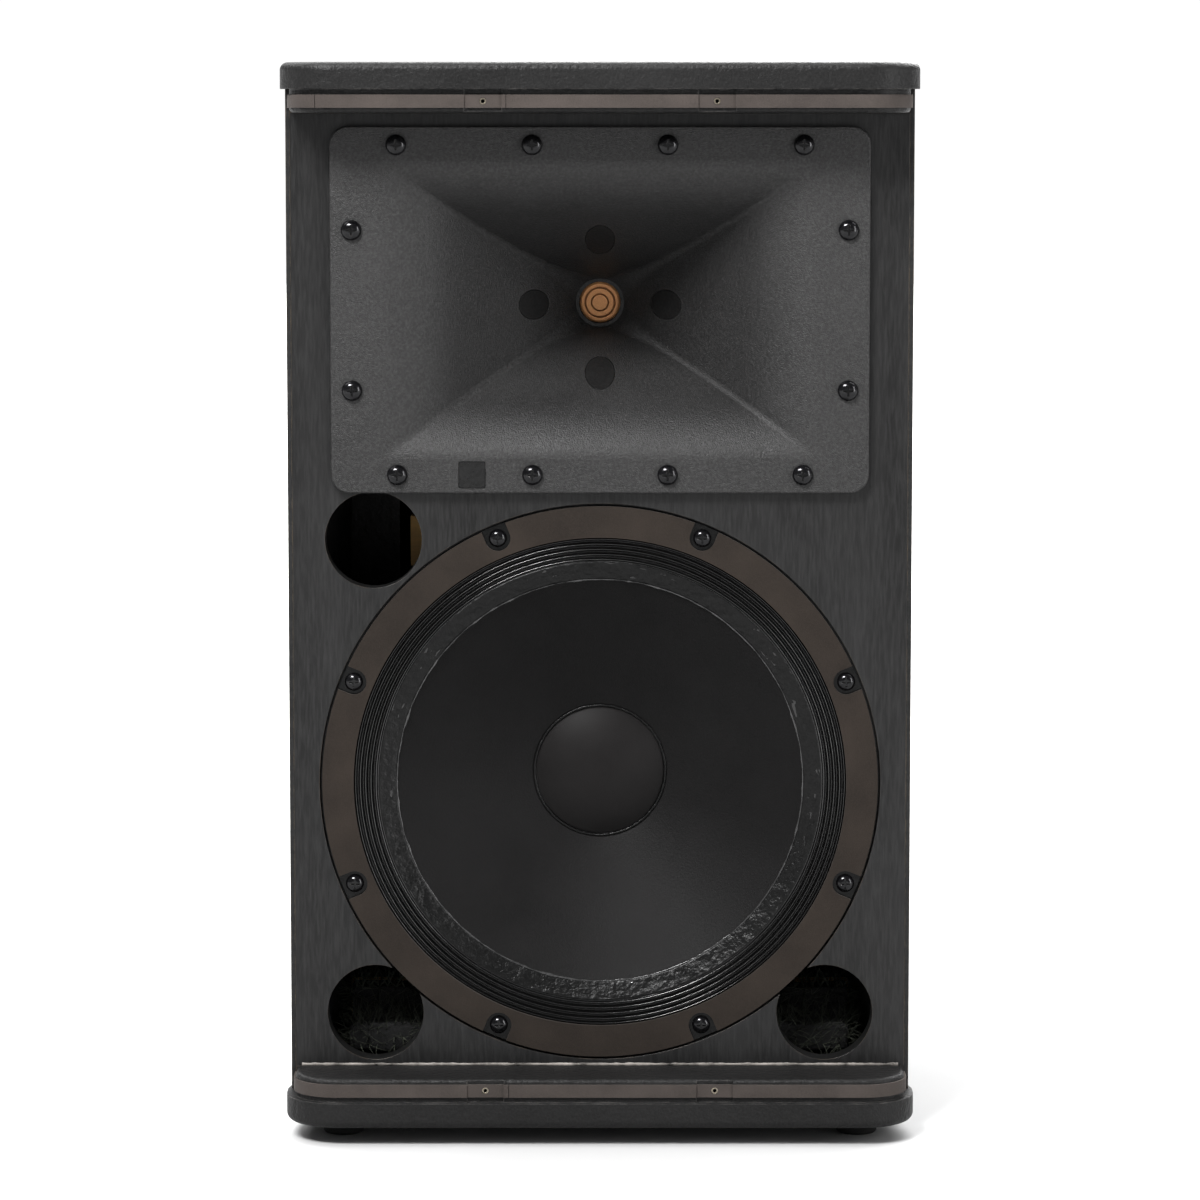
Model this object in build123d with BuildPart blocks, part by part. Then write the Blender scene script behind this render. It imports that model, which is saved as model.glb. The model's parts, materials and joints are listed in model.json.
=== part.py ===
from build123d import *
import math
import os

# A two-way loudspeaker cabinet with a 15-inch woofer and a horn, grille taken off.
# Millimetres, +Z up. The origin is on the floor, under the middle of the cabinet's box.
# The front, with the baffle, faces -Y. Depths below are measured back from the baffle's face.

# ---------------------------------------------------------------- cabinet
TOTAL_H = 738.0          # floor to the top of the cap
TOTAL_D = 410.0          # front lip to back edge of the caps
FOOT_H = 12.0
CAP_LIP_H = 18.0         # the thick plate of each cap
RAIL_H = 16.0            # the grille rail under or over it
CAP_HALF_W = 216.5
CAP_OVERHANG = 2.5       # how far a cap stands out past the side panels
LIP_AHEAD = 51.5         # lip in front of the baffle
RAIL_AHEAD = 48.0        # grille rail in front of the baffle
LIP_CORNER_R = 38.0
RAIL_HALF_W = 210.0
RAIL_CORNER_R = 30.0
CAP_EDGE_R = 5.5
CAP_BACK_R = 14.0
CAP_WALL = 4.0

FRONT_Y = -TOTAL_D / 2
BACK_Y = TOTAL_D / 2
BAFFLE_Y = FRONT_Y + LIP_AHEAD
RAIL_Y = BAFFLE_Y - RAIL_AHEAD
BOX_LOW = FOOT_H + CAP_LIP_H
BOX_HIGH = TOTAL_H - CAP_LIP_H
MID_Z = (BOX_LOW + BOX_HIGH) / 2
BOX_HALF_H = (BOX_HIGH - BOX_LOW) / 2

PANEL_T = 15.0           # side and back panels
END_T = 16.0             # top and bottom panels
BAFFLE_T = 18.0
SIDE_TAPER = 0.18        # the cabinet narrows by this much a side for each mm of depth
SIDE_SLOPE = math.sqrt(1 + SIDE_TAPER ** 2)
CAB_FRONT_HALF = 214.0
PANEL_BACK_Y = BACK_Y - 7.0
RABBET_LIP = 3.0         # strip of side panel left outside the baffle's edge
BAFFLE_LOW = BOX_LOW + END_T
BAFFLE_HIGH = BOX_HIGH - END_T

# ---------------------------------------------------------------- things on the baffle
WOOFER_Z = 244.0
WOOFER_CUT_R = 176.0
WOOFER_REBATE_R = 193.4
WOOFER_REBATE_D = 8.0
FRAME_R = 192.0
FRAME_BOLT_R = 183.5
FRAME_BOLTS = 8
PORT_R = 33.2
PORTS = [(-155.5, 412.5), (-155.5, 83.5), (155.5, 83.5)]
HORN_Z = 570.0
HORN_CUT = (322.0, 210.0, 12.0)      # width, height, corner radius
HORN_FLANGE = (368.0, 250.0, 13.0)
HORN_FLANGE_T = 5.0
HORN_GASKET_T = 1.5
HORN_DEPTH = 128.0
HORN_WALL = 4.5
HORN_SCREW_X = (-138.6, -46.2, 46.2, 138.6)
HORN_SCREW_Z = 112.3
HORN_SCREW_SIDE_X = 169.2
HORN_SCREW_SIDE_Z = 54.6
THROAT_R = 14.75
HORN_BOLT_R = 46.2       # compression driver bolts, from the throat's axis
PLUG_R = 10.2

HORN_FRONT_Y = BAFFLE_Y - HORN_GASKET_T - HORN_FLANGE_T
THROAT_Y = HORN_FRONT_Y + HORN_DEPTH
HORN_BOSS_T = 8.0
DRIVER_Y = THROAT_Y + HORN_BOSS_T

# ---------------------------------------------------------------- fittings
GRILLE_X = 78.5          # grille screws, each side of the middle
TAPE_T = 1.5
TAPE_H = 8.9
TAPE_GAP = 3.7           # bare rail between the lip and the tape
NOTCH_W = 25.0
NOTCH_D = 1.0
INSERT_R = 2.3
INSERT_HOLE_R = 1.25
INSERT_L = 10.0
FOOT_R = 14.0
FEET = [(-178.0, -156.0), (178.0, -156.0), (-122.0, 168.0), (122.0, 168.0)]
POLE_Y = -10.0
POLE_BORE_R = 17.75
POLE_TUBE_R = 20.75
POLE_TOP_Z = 102.0
POLE_FLANGE_R = 50.0
POLE_FLANGE_T = 3.0
POLE_BOLT_R = 38.0
FLY_X = 120.0            # suspension points in the top
FLY_Y = 60.0
FLY_BACK_Z = 655.0       # pull-back point in the back panel
FLY_HOLE_R = 4.25
FLY_SLEEVE_R = 8.0
FLY_FLANGE_R = 15.0
FLY_FLANGE_T = 3.0
HANDLE_Y = 45.0
HANDLE_Z = 400.0
HANDLE_CUT = (150.0, 95.0, 12.0)
HANDLE_FLANGE = (180.0, 124.0, 16.0)
HANDLE_SCREWS = (164.0, 108.0)       # spacing of the four screws
HANDLE_DEPTH = 50.0
HANDLE_WALL = 3.0
INPUT_Z = 175.0
INPUT_CUT = (148.0, 90.0, 8.0)
INPUT_FLANGE = (174.0, 116.0, 10.0)
INPUT_DEPTH = 28.0
SOCKET_X = 34.0
SOCKET_R = 12.0
BOARD_Z = 320.0

os.makedirs("parts", exist_ok=True)


def save(piece, label):
    """Name a finished piece and write it to its own file."""
    piece.part.label = label
    export_step(piece.part, f"parts/{label}.step")


def half_width(y):
    """Half the cabinet's outside width at depth y."""
    return CAB_FRONT_HALF - (y - BAFFLE_Y) * SIDE_TAPER


def inner_half(y):
    """Half the width between the side panels at depth y."""
    return half_width(y) - PANEL_T * SIDE_SLOPE


def facing(depth):
    """Plane parallel to the baffle, its local x and y along world X and Z."""
    return Plane.XZ.offset(-(BAFFLE_Y + depth))


def outline(*points):
    """Fill the polygon through the points in the sketch that is open."""
    with BuildLine() as line:
        Polyline(*points, close=True)
    make_face(line.edges())


def ring_profile(*points):
    """Fill a (radius, depth) polygon in the sketch that is open."""
    outline(*[(radius, BAFFLE_Y + depth) for radius, depth in points])


def axis_at(z):
    """The line along Y at height z, about which round drivers turn."""
    return Axis((0, 0, z), (0, 1, 0))


def ring(outer_r, inner_r, z, front, back):
    """A plain ring about the driver axis at height z, between two depths."""
    with BuildPart() as plain:
        with BuildSketch(Plane.XY.offset(z)):
            ring_profile((inner_r, front), (outer_r, front), (outer_r, back), (inner_r, back))
        revolve(axis=axis_at(z))
    return plain.part


def pan_screw(head_r, head_h, shank_r, shank_l):
    """A cross-recess pan-head screw. Its head sits on z = 0 and its shank points down."""
    dome = head_h * 0.62
    with BuildPart() as screw:
        with BuildSketch(Plane.XZ):
            with BuildLine():
                Line((0, -shank_l), (0, head_h))
                shoulder = (head_r * 0.72, dome + (head_h - dome) * 0.55)
                ThreePointArc((0, head_h), shoulder, (head_r, head_h * 0.3))
                Line((head_r, head_h * 0.3), (head_r, 0))
                Line((head_r, 0), (shank_r, 0))
                Line((shank_r, 0), (shank_r, -shank_l + shank_r))
                Line((shank_r, -shank_l + shank_r), (0, -shank_l))
            make_face()
        revolve(axis=Axis.Z)
        with Locations((0, 0, head_h)):
            Box(head_r * 1.05, head_r * 0.2, head_h, mode=Mode.SUBTRACT)
            Box(head_r * 0.2, head_r * 1.05, head_h, mode=Mode.SUBTRACT)
    return screw.part


def front_screws(screw, depth, centres):
    """Set copies of a screw in the open part, heads towards the listener."""
    planes = [Plane(origin=(x, BAFFLE_Y + depth, z), x_dir=(1, 0, 0), z_dir=(0, -1, 0)) for x, z in centres]
    with Locations(*planes):
        add(screw)


def dome_point(radius, rise, at_radius):
    """How far a shallow dome of this rim radius and rise has dropped at another radius."""
    sphere = (radius ** 2 + rise ** 2) / (2 * rise)
    return sphere - math.sqrt(sphere ** 2 - at_radius ** 2)


def around(radius, count, z, start=0.0):
    """Points evenly spaced on a circle in the plane of the baffle."""
    angles = [math.radians(start + 360.0 * step / count) for step in range(count)]
    return [(radius * math.cos(a), z + radius * math.sin(a)) for a in angles]


FRAME_SCREWS = around(FRAME_BOLT_R, FRAME_BOLTS, WOOFER_Z, 180.0 / FRAME_BOLTS)
HORN_SCREWS = [(x, HORN_Z + side * HORN_SCREW_Z) for side in (1, -1) for x in HORN_SCREW_X]
for side in (1, -1):
    HORN_SCREWS += [(side * HORN_SCREW_SIDE_X, HORN_Z + up * HORN_SCREW_SIDE_Z) for up in (1, -1)]
HORN_BOLTS = around(HORN_BOLT_R, 4, HORN_Z)

# ================================================================ wooden box
PILOT_R = 2.3
FRAME_HOLE_R = 3.2
BAFFLE_BACK_Y = BAFFLE_Y + BAFFLE_T

with BuildPart() as baffle:
    with BuildSketch(Plane.XY.offset(BAFFLE_LOW)):
        lip = RABBET_LIP * SIDE_SLOPE
        front, back = half_width(BAFFLE_Y) - lip, half_width(BAFFLE_BACK_Y) - lip
        outline((-front, BAFFLE_Y), (front, BAFFLE_Y), (back, BAFFLE_BACK_Y), (-back, BAFFLE_BACK_Y))
    extrude(amount=BAFFLE_HIGH - BAFFLE_LOW)
    with BuildSketch(facing(0)):
        with Locations((0, HORN_Z)):
            RectangleRounded(*HORN_CUT)
        with Locations((0, WOOFER_Z)):
            Circle(WOOFER_CUT_R)
        with Locations(*PORTS):
            Circle(PORT_R)
        with Locations(*HORN_SCREWS):
            Circle(PILOT_R)
        with Locations(*FRAME_SCREWS):
            Circle(FRAME_HOLE_R)
    extrude(amount=-BAFFLE_T, mode=Mode.SUBTRACT)
    with BuildSketch(facing(0)):
        with Locations((0, WOOFER_Z)):
            Circle(WOOFER_REBATE_R)
    extrude(amount=-WOOFER_REBATE_D, mode=Mode.SUBTRACT)
save(baffle, "baffle")

side_origin = (half_width(HANDLE_Y), HANDLE_Y, HANDLE_Z)
SIDE_PLANE = Plane(origin=side_origin, x_dir=(-SIDE_TAPER, 1, 0), z_dir=(1, SIDE_TAPER, 0))

with BuildPart() as right_side_panel:
    with BuildSketch(Plane.XY.offset(BOX_LOW)):
        outline(
            (half_width(BAFFLE_Y), BAFFLE_Y),
            (half_width(PANEL_BACK_Y), PANEL_BACK_Y),
            (inner_half(PANEL_BACK_Y), PANEL_BACK_Y),
            (inner_half(BAFFLE_BACK_Y), BAFFLE_BACK_Y),
            (back, BAFFLE_BACK_Y),
            (front, BAFFLE_Y),
        )
    extrude(amount=BOX_HIGH - BOX_LOW)
    with BuildSketch(SIDE_PLANE):
        RectangleRounded(*HANDLE_CUT)
        with GridLocations(*HANDLE_SCREWS, 2, 2):
            Circle(PILOT_R)
    extrude(amount=-PANEL_T * 2, both=True, mode=Mode.SUBTRACT)
save(right_side_panel, "right_side_panel")

with BuildPart() as left_side_panel:
    add(mirror(right_side_panel.part, about=Plane.YZ, mode=Mode.PRIVATE))
save(left_side_panel, "left_side_panel")


def end_panel():
    """Plan of the top and bottom panels, which fill the space between the sides."""
    corner = inner_half(BAFFLE_BACK_Y)
    rear = inner_half(PANEL_BACK_Y)
    right = [(front, BAFFLE_Y), (back, BAFFLE_BACK_Y), (corner, BAFFLE_BACK_Y), (rear, PANEL_BACK_Y)]
    left = [(-x, y) for x, y in reversed(right)]
    outline(*right, *left)


with BuildPart() as top_panel:
    with BuildSketch(Plane.XY.offset(BAFFLE_HIGH)):
        end_panel()
        with Locations((-FLY_X, FLY_Y), (FLY_X, FLY_Y)):
            Circle(FLY_SLEEVE_R + 0.1, mode=Mode.SUBTRACT)
    extrude(amount=END_T)
save(top_panel, "top_panel")

SCREW_HOLE_TOP = BAFFLE_LOW - 4.0

with BuildPart() as bottom_panel:
    with BuildSketch(Plane.XY.offset(BOX_LOW)):
        end_panel()
        with Locations((0, POLE_Y)):
            Circle(POLE_TUBE_R + 0.25, mode=Mode.SUBTRACT)
    extrude(amount=END_T)
    with BuildSketch(Plane.XY.offset(BOX_LOW)):
        with Locations(*FEET):
            Circle(PILOT_R)
        with Locations((0, POLE_Y)):
            with PolarLocations(POLE_BOLT_R, 4, 45):
                Circle(PILOT_R)
    extrude(amount=SCREW_HOLE_TOP - BOX_LOW, mode=Mode.SUBTRACT)
save(bottom_panel, "bottom_panel")

BACK_IN_Y = PANEL_BACK_Y - PANEL_T

with BuildPart() as back_panel:
    with BuildSketch(Plane.XY.offset(BAFFLE_LOW)):
        near, far = inner_half(BACK_IN_Y), inner_half(PANEL_BACK_Y)
        outline((-near, BACK_IN_Y), (near, BACK_IN_Y), (far, PANEL_BACK_Y), (-far, PANEL_BACK_Y))
    extrude(amount=BAFFLE_HIGH - BAFFLE_LOW)
    with BuildSketch(Plane.XZ.offset(-PANEL_BACK_Y)):
        with Locations((0, INPUT_Z)):
            RectangleRounded(*INPUT_CUT)
            with GridLocations(158, 100, 2, 2):
                Circle(PILOT_R)
        with Locations((0, FLY_BACK_Z)):
            Circle(FLY_SLEEVE_R + 0.1)
    extrude(amount=PANEL_T, mode=Mode.SUBTRACT)
save(back_panel, "back_panel")

BRACE_DEPTH = 100.0
BRACE_T = 18.0
BRACE_UPRIGHT = (88.0, 124.0)        # inner and outer edge of each upright
BRACE_BAR = (385.0, 420.0)
BRACE_BAR_HALF = 134.0
BRACE_WINDOW_R = 108.0
BRACE_RAIL_H = 40.0

with BuildPart() as window_brace:
    with BuildSketch(facing(BRACE_DEPTH)):
        half = inner_half(BAFFLE_Y + BRACE_DEPTH + BRACE_T)
        rail_mid = BRACE_RAIL_H / 2
        with Locations((0, BAFFLE_LOW + rail_mid), (0, BAFFLE_HIGH - rail_mid)):
            Rectangle(2 * half, BRACE_RAIL_H)
        upright_w = BRACE_UPRIGHT[1] - BRACE_UPRIGHT[0]
        upright_x = sum(BRACE_UPRIGHT) / 2
        upright_z = (BAFFLE_LOW + BAFFLE_HIGH) / 2
        with Locations((-upright_x, upright_z), (upright_x, upright_z)):
            Rectangle(upright_w, BAFFLE_HIGH - BAFFLE_LOW)
        with Locations((0, sum(BRACE_BAR) / 2)):
            Rectangle(2 * BRACE_BAR_HALF, BRACE_BAR[1] - BRACE_BAR[0])
        with Locations((0, WOOFER_Z)):
            Circle(BRACE_WINDOW_R, mode=Mode.SUBTRACT)
    extrude(amount=-BRACE_T)
save(window_brace, "window_brace")

BATTEN = 15.0
FRONT_BATTENS = [(125.0, 370.0), (452.0, BAFFLE_HIGH - 2.0)]

with BuildPart() as corner_battens:
    for low, high in FRONT_BATTENS:
        with BuildSketch(Plane.XY.offset(low)):
            y0, y1 = BAFFLE_BACK_Y, BAFFLE_BACK_Y + BATTEN
            for s in (1, -1):
                outline(
                    (s * inner_half(y0), y0), (s * inner_half(y1), y1),
                    (s * (inner_half(y1) - BATTEN), y1), (s * (inner_half(y1) - BATTEN), y0),
                )
        extrude(amount=high - low)
    with BuildSketch(Plane.XY.offset(BAFFLE_LOW)):
        y0, y1 = BACK_IN_Y - BATTEN, BACK_IN_Y
        for s in (1, -1):
            outline(
                (s * inner_half(y0), y0), (s * inner_half(y1), y1),
                (s * (inner_half(y1) - BATTEN), y1), (s * (inner_half(y1) - BATTEN), y0),
            )
    extrude(amount=BAFFLE_HIGH - BAFFLE_LOW)
save(corner_battens, "corner_battens")


# ================================================================ caps
def cap_plan():
    """Plan of a cap's lip: straight front, rounded corners, sides that follow the cabinet."""
    rear = half_width(BACK_Y) + CAP_OVERHANG
    with BuildLine() as line:
        Polyline(
            (-CAP_HALF_W, FRONT_Y), (CAP_HALF_W, FRONT_Y), (CAP_HALF_W, BAFFLE_Y),
            (rear, BACK_Y), (-rear, BACK_Y), (-CAP_HALF_W, BAFFLE_Y), close=True,
        )
        fillet(line.vertices().group_by(Axis.Y)[0], LIP_CORNER_R)
        fillet(line.vertices().group_by(Axis.Y)[-1], CAP_BACK_R)
    make_face(line.edges())


def rail_plan(inset, mode=Mode.ADD):
    """Plan of the grille rail, drawn in by inset, open against the baffle."""
    half, corner = RAIL_HALF_W - inset, RAIL_CORNER_R - inset
    front_y = RAIL_Y + inset
    with BuildLine() as line:
        Line((half, BAFFLE_Y), (half, front_y + corner))
        RadiusArc((half, front_y + corner), (half - corner, front_y), corner)
        Line((half - corner, front_y), (corner - half, front_y))
        RadiusArc((corner - half, front_y), (-half, front_y + corner), corner)
        Line((-half, front_y + corner), (-half, BAFFLE_Y))
        Line((-half, BAFFLE_Y), (half, BAFFLE_Y))
    make_face(line.edges(), mode=mode)


CELL_ROWS = [(-149.0, -42.0), (-38.0, 72.0), (76.0, 196.0)]
CELL_RIB = 1.5
INSERT_BOSS_R = 6.0


def cap_shell(side):
    """A moulded cap; side is 1 for the top and -1 for the bottom."""
    seat = MID_Z + side * BOX_HALF_H
    outer_face = -1 if side > 0 else 0
    inner_face = 0 if side > 0 else -1
    insert_z = seat - side * (TAPE_GAP + TAPE_H / 2)
    with BuildPart() as shell:
        with BuildSketch(Plane.XY.offset(seat)):
            cap_plan()
        plate = extrude(amount=side * CAP_LIP_H)
        fillet(plate.edges().group_by(Axis.Z)[outer_face], CAP_EDGE_R)
        with BuildSketch(Plane.XY.offset(seat)):
            rail_plan(0)
        extrude(amount=-side * RAIL_H)
        free_edges = edges().group_by(Axis.Z)[inner_face]
        fillet(free_edges.filter_by(lambda edge: edge.center().Y < BAFFLE_Y - 1), 3.0)
        with Locations((-GRILLE_X, RAIL_Y + NOTCH_D / 2, seat - side * RAIL_H / 2),
                       (GRILLE_X, RAIL_Y + NOTCH_D / 2, seat - side * RAIL_H / 2)):
            Box(NOTCH_W, NOTCH_D, RAIL_H, mode=Mode.SUBTRACT)
        with BuildSketch(Plane.XY.offset(seat - side * (RAIL_H - CAP_WALL))):
            rail_plan(CAP_WALL)
        extrude(amount=side * (RAIL_H + CAP_LIP_H - 2 * CAP_WALL), mode=Mode.SUBTRACT)
        with BuildSketch(Plane.XY.offset(seat)):
            for low, high in CELL_ROWS:
                for s in (1, -1):
                    outline(
                        (s * CELL_RIB, low), (s * (half_width(low) - CAP_WALL), low),
                        (s * (half_width(high) - CAP_WALL), high), (s * CELL_RIB, high),
                    )
        extrude(amount=side * (CAP_LIP_H - CAP_WALL), mode=Mode.SUBTRACT)
        with BuildSketch(Plane.XZ.offset(-(RAIL_Y + CAP_WALL - 1))):
            with Locations((-GRILLE_X, insert_z), (GRILLE_X, insert_z)):
                Circle(INSERT_BOSS_R)
        extrude(amount=-INSERT_L)
        with BuildSketch(Plane.XZ.offset(-RAIL_Y)):
            with Locations((-GRILLE_X, insert_z), (GRILLE_X, insert_z)):
                Circle(INSERT_R)
        extrude(amount=-(NOTCH_D + INSERT_L), mode=Mode.SUBTRACT)
    return shell.part


top_shell = cap_shell(1)
bottom_shell = cap_shell(-1)

with BuildPart() as top_cap:
    add(top_shell)
    with BuildSketch(Plane.XY.offset(BOX_HIGH)):
        with Locations((-FLY_X, FLY_Y), (FLY_X, FLY_Y)):
            Circle(FLY_SLEEVE_R + 5)
    extrude(amount=CAP_LIP_H - CAP_WALL)
    with BuildSketch(Plane.XY.offset(BOX_HIGH)):
        with Locations((-FLY_X, FLY_Y), (FLY_X, FLY_Y)):
            Circle(FLY_SLEEVE_R + 0.1)
    extrude(amount=CAP_LIP_H, mode=Mode.SUBTRACT)
save(top_cap, "top_cap")

POLE_PAD_R = 56.0
FOOT_BOSS_R = 9.0

with BuildPart() as bottom_cap:
    add(bottom_shell)
    with BuildSketch(Plane.XY.offset(BOX_LOW)):
        with Locations((0, POLE_Y)):
            Circle(POLE_PAD_R)
        with Locations(*FEET):
            Circle(FOOT_BOSS_R)
    extrude(amount=-(CAP_LIP_H - CAP_WALL))
    with BuildSketch(Plane.XY.offset(FOOT_H)):
        with Locations((0, POLE_Y)):
            Circle(POLE_FLANGE_R + 0.25)
    extrude(amount=POLE_FLANGE_T, mode=Mode.SUBTRACT)
    with BuildSketch(Plane.XY.offset(FOOT_H)):
        with Locations((0, POLE_Y)):
            Circle(POLE_TUBE_R + 0.25)
            with PolarLocations(POLE_BOLT_R, 4, 45):
                Circle(PILOT_R)
        with Locations(*FEET):
            Circle(PILOT_R)
    extrude(amount=CAP_LIP_H, mode=Mode.SUBTRACT)
save(bottom_cap, "bottom_cap")

TAPE_SEAMS = {1: (-191.0, -63.0), -1: (-62.5,)}
TAPE_STOP = 3.5          # bare rail left between the tape's ends and the baffle


def grille_tape(side):
    """Foam tape round a rail, in lengths with butt joints, following the screw notches."""
    seat = MID_Z + side * BOX_HALF_H
    start = seat - side * TAPE_GAP
    with BuildPart() as tape:
        with BuildSketch(Plane.XY.offset(start)):
            rail_plan(-TAPE_T)
            rail_plan(0, mode=Mode.SUBTRACT)
            with Locations((-GRILLE_X, RAIL_Y), (GRILLE_X, RAIL_Y)):
                with Locations((0, -TAPE_T / 2)):
                    Rectangle(NOTCH_W, TAPE_T, mode=Mode.SUBTRACT)
                with Locations((0, NOTCH_D - TAPE_T / 2)):
                    Rectangle(NOTCH_W, TAPE_T)
            for seam in TAPE_SEAMS[side]:
                with Locations((seam, RAIL_Y)):
                    Rectangle(0.35, 12, mode=Mode.SUBTRACT)
            with Locations((0, BAFFLE_Y)):
                Rectangle(3 * RAIL_HALF_W, 2 * TAPE_STOP, mode=Mode.SUBTRACT)
        extrude(amount=-side * TAPE_H)
        with BuildSketch(Plane.XZ.offset(-RAIL_Y)):
            with Locations((-GRILLE_X, start - side * TAPE_H / 2), (GRILLE_X, start - side * TAPE_H / 2)):
                Circle(INSERT_R + 0.1)
        extrude(amount=4 * TAPE_T, both=True, mode=Mode.SUBTRACT)
    return tape.part


with BuildPart() as top_grille_tape:
    add(grille_tape(1))
save(top_grille_tape, "top_grille_tape")

with BuildPart() as bottom_grille_tape:
    add(grille_tape(-1))
save(bottom_grille_tape, "bottom_grille_tape")

INSERT_Z = [MID_Z + s * (BOX_HALF_H - TAPE_GAP - TAPE_H / 2) for s in (1, -1)]

with BuildPart() as grille_inserts:
    with BuildSketch(Plane.XZ.offset(-(RAIL_Y + NOTCH_D))):
        with Locations(*[(x, z) for x in (-GRILLE_X, GRILLE_X) for z in INSERT_Z]):
            Circle(INSERT_R)
            Circle(INSERT_HOLE_R, mode=Mode.SUBTRACT)
    extrude(amount=-INSERT_L)
save(grille_inserts, "grille_inserts")

# ================================================================ feet, pole socket, suspension
FOOT_BORE_R = 6.0
FOOT_BORE_H = 6.0

with BuildPart() as rubber_feet:
    with Locations(*[(x, y, 0) for x, y in FEET]):
        Cylinder(FOOT_R, FOOT_H, align=(Align.CENTER, Align.CENTER, Align.MIN))
    fillet(edges().group_by(Axis.Z)[0], 2.5)
    with Locations(*[(x, y, 0) for x, y in FEET]):
        Cylinder(FOOT_BORE_R, FOOT_BORE_H, align=(Align.CENTER, Align.CENTER, Align.MIN), mode=Mode.SUBTRACT)
        Cylinder(PILOT_R, FOOT_H, align=(Align.CENTER, Align.CENTER, Align.MIN), mode=Mode.SUBTRACT)
save(rubber_feet, "rubber_feet")


def upward_screws(screw, z, centres):
    """Set copies of a screw in the open part, heads down, at height z."""
    planes = [Plane(origin=(x, y, z), x_dir=(1, 0, 0), z_dir=(0, 0, -1)) for x, y in centres]
    with Locations(*planes):
        add(screw)


foot_screw = pan_screw(4.6, 2.6, 2.1, SCREW_HOLE_TOP - FOOT_BORE_H - 1)
with BuildPart() as foot_screws:
    upward_screws(foot_screw, FOOT_BORE_H, FEET)
save(foot_screws, "foot_screws")

with BuildPart() as pole_socket:
    with BuildSketch(Plane.XY.offset(FOOT_H)):
        with Locations((0, POLE_Y)):
            Circle(POLE_FLANGE_R)
    extrude(amount=POLE_FLANGE_T)
    with BuildSketch(Plane.XY.offset(FOOT_H)):
        with Locations((0, POLE_Y)):
            Circle(POLE_TUBE_R)
    extrude(amount=POLE_TOP_Z - FOOT_H)
    with BuildSketch(Plane.XY.offset(FOOT_H)):
        with Locations((0, POLE_Y)):
            Circle(POLE_BORE_R)
    extrude(amount=POLE_TOP_Z - FOOT_H - 3, mode=Mode.SUBTRACT)
    with BuildSketch(Plane.XY.offset(FOOT_H)):
        with Locations((0, POLE_Y)):
            with PolarLocations(POLE_BOLT_R, 4, 45):
                Circle(PILOT_R)
    extrude(amount=POLE_FLANGE_T, mode=Mode.SUBTRACT)
save(pole_socket, "pole_socket")

pole_points = [(x, y + POLE_Y) for x, y in around(POLE_BOLT_R, 4, 0, 45)]
with BuildPart() as pole_socket_screws:
    upward_screws(pan_screw(4.2, 2.6, 2.1, SCREW_HOLE_TOP - FOOT_H - 1), FOOT_H, pole_points)
save(pole_socket_screws, "pole_socket_screws")


def fly_sleeve(length):
    """A threaded steel sleeve from z = 0 down, with a flange below the panel it clamps."""
    Cylinder(FLY_SLEEVE_R, length, align=(Align.CENTER, Align.CENTER, Align.MAX))
    with Locations((0, 0, -length)):
        Cylinder(FLY_FLANGE_R, FLY_FLANGE_T, align=(Align.CENTER, Align.CENTER, Align.MAX))
    Cylinder(FLY_HOLE_R, length + FLY_FLANGE_T, align=(Align.CENTER, Align.CENTER, Align.MAX), mode=Mode.SUBTRACT)


with BuildPart() as top_sleeve:
    fly_sleeve(TOTAL_H - BAFFLE_HIGH)
with BuildPart() as back_sleeve:
    fly_sleeve(PANEL_T)

with BuildPart() as suspension_inserts:
    with Locations((-FLY_X, FLY_Y, TOTAL_H), (FLY_X, FLY_Y, TOTAL_H)):
        add(top_sleeve.part)
    with Locations(Plane(origin=(0, PANEL_BACK_Y, FLY_BACK_Z), x_dir=(1, 0, 0), z_dir=(0, 1, 0))):
        add(back_sleeve.part)
save(suspension_inserts, "suspension_inserts")

# ================================================================ side handles
HANDLE_BAR_R = 11.0
HANDLE_BAR_UP = 22.0
HANDLE_FLANGE_T = 4.0

with BuildPart() as right_handle:
    with BuildSketch(SIDE_PLANE):
        RectangleRounded(*HANDLE_FLANGE)
    rim = extrude(amount=HANDLE_FLANGE_T)
    outward = SIDE_PLANE.z_dir
    face_edges = [edge for edge in rim.edges() if (edge.center() - Vector(*side_origin)).dot(outward) > 3.5]
    fillet(face_edges, 2.0)
    width, height, corner = HANDLE_CUT
    with BuildSketch(SIDE_PLANE):
        RectangleRounded(width - 1, height - 1, corner)
    extrude(amount=-HANDLE_DEPTH)
    with BuildSketch(SIDE_PLANE.offset(HANDLE_FLANGE_T)):
        RectangleRounded(width - 1 - 2 * HANDLE_WALL, height - 1 - 2 * HANDLE_WALL, corner - HANDLE_WALL)
    extrude(amount=-(HANDLE_FLANGE_T + HANDLE_DEPTH - HANDLE_WALL), mode=Mode.SUBTRACT)
    bar_plane = Plane(
        origin=SIDE_PLANE.from_local_coords((0, HANDLE_BAR_UP, HANDLE_FLANGE_T - HANDLE_BAR_R - 1)),
        x_dir=SIDE_PLANE.y_dir, z_dir=SIDE_PLANE.x_dir,
    )
    with BuildSketch(bar_plane):
        Circle(HANDLE_BAR_R)
    extrude(amount=(width - 1) / 2 - 1, both=True)
    with BuildSketch(SIDE_PLANE.offset(HANDLE_FLANGE_T)):
        with GridLocations(*HANDLE_SCREWS, 2, 2):
            Circle(PILOT_R)
    extrude(amount=-HANDLE_FLANGE_T, mode=Mode.SUBTRACT)
save(right_handle, "right_handle")

with BuildPart() as left_handle:
    add(mirror(right_handle.part, about=Plane.YZ, mode=Mode.PRIVATE))
save(left_handle, "left_handle")

panel_screw = pan_screw(4.4, 2.8, 2.1, 13.0)

with BuildPart() as right_handle_screws:
    with Locations(SIDE_PLANE.offset(HANDLE_FLANGE_T)):
        with GridLocations(*HANDLE_SCREWS, 2, 2):
            add(panel_screw)
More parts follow.
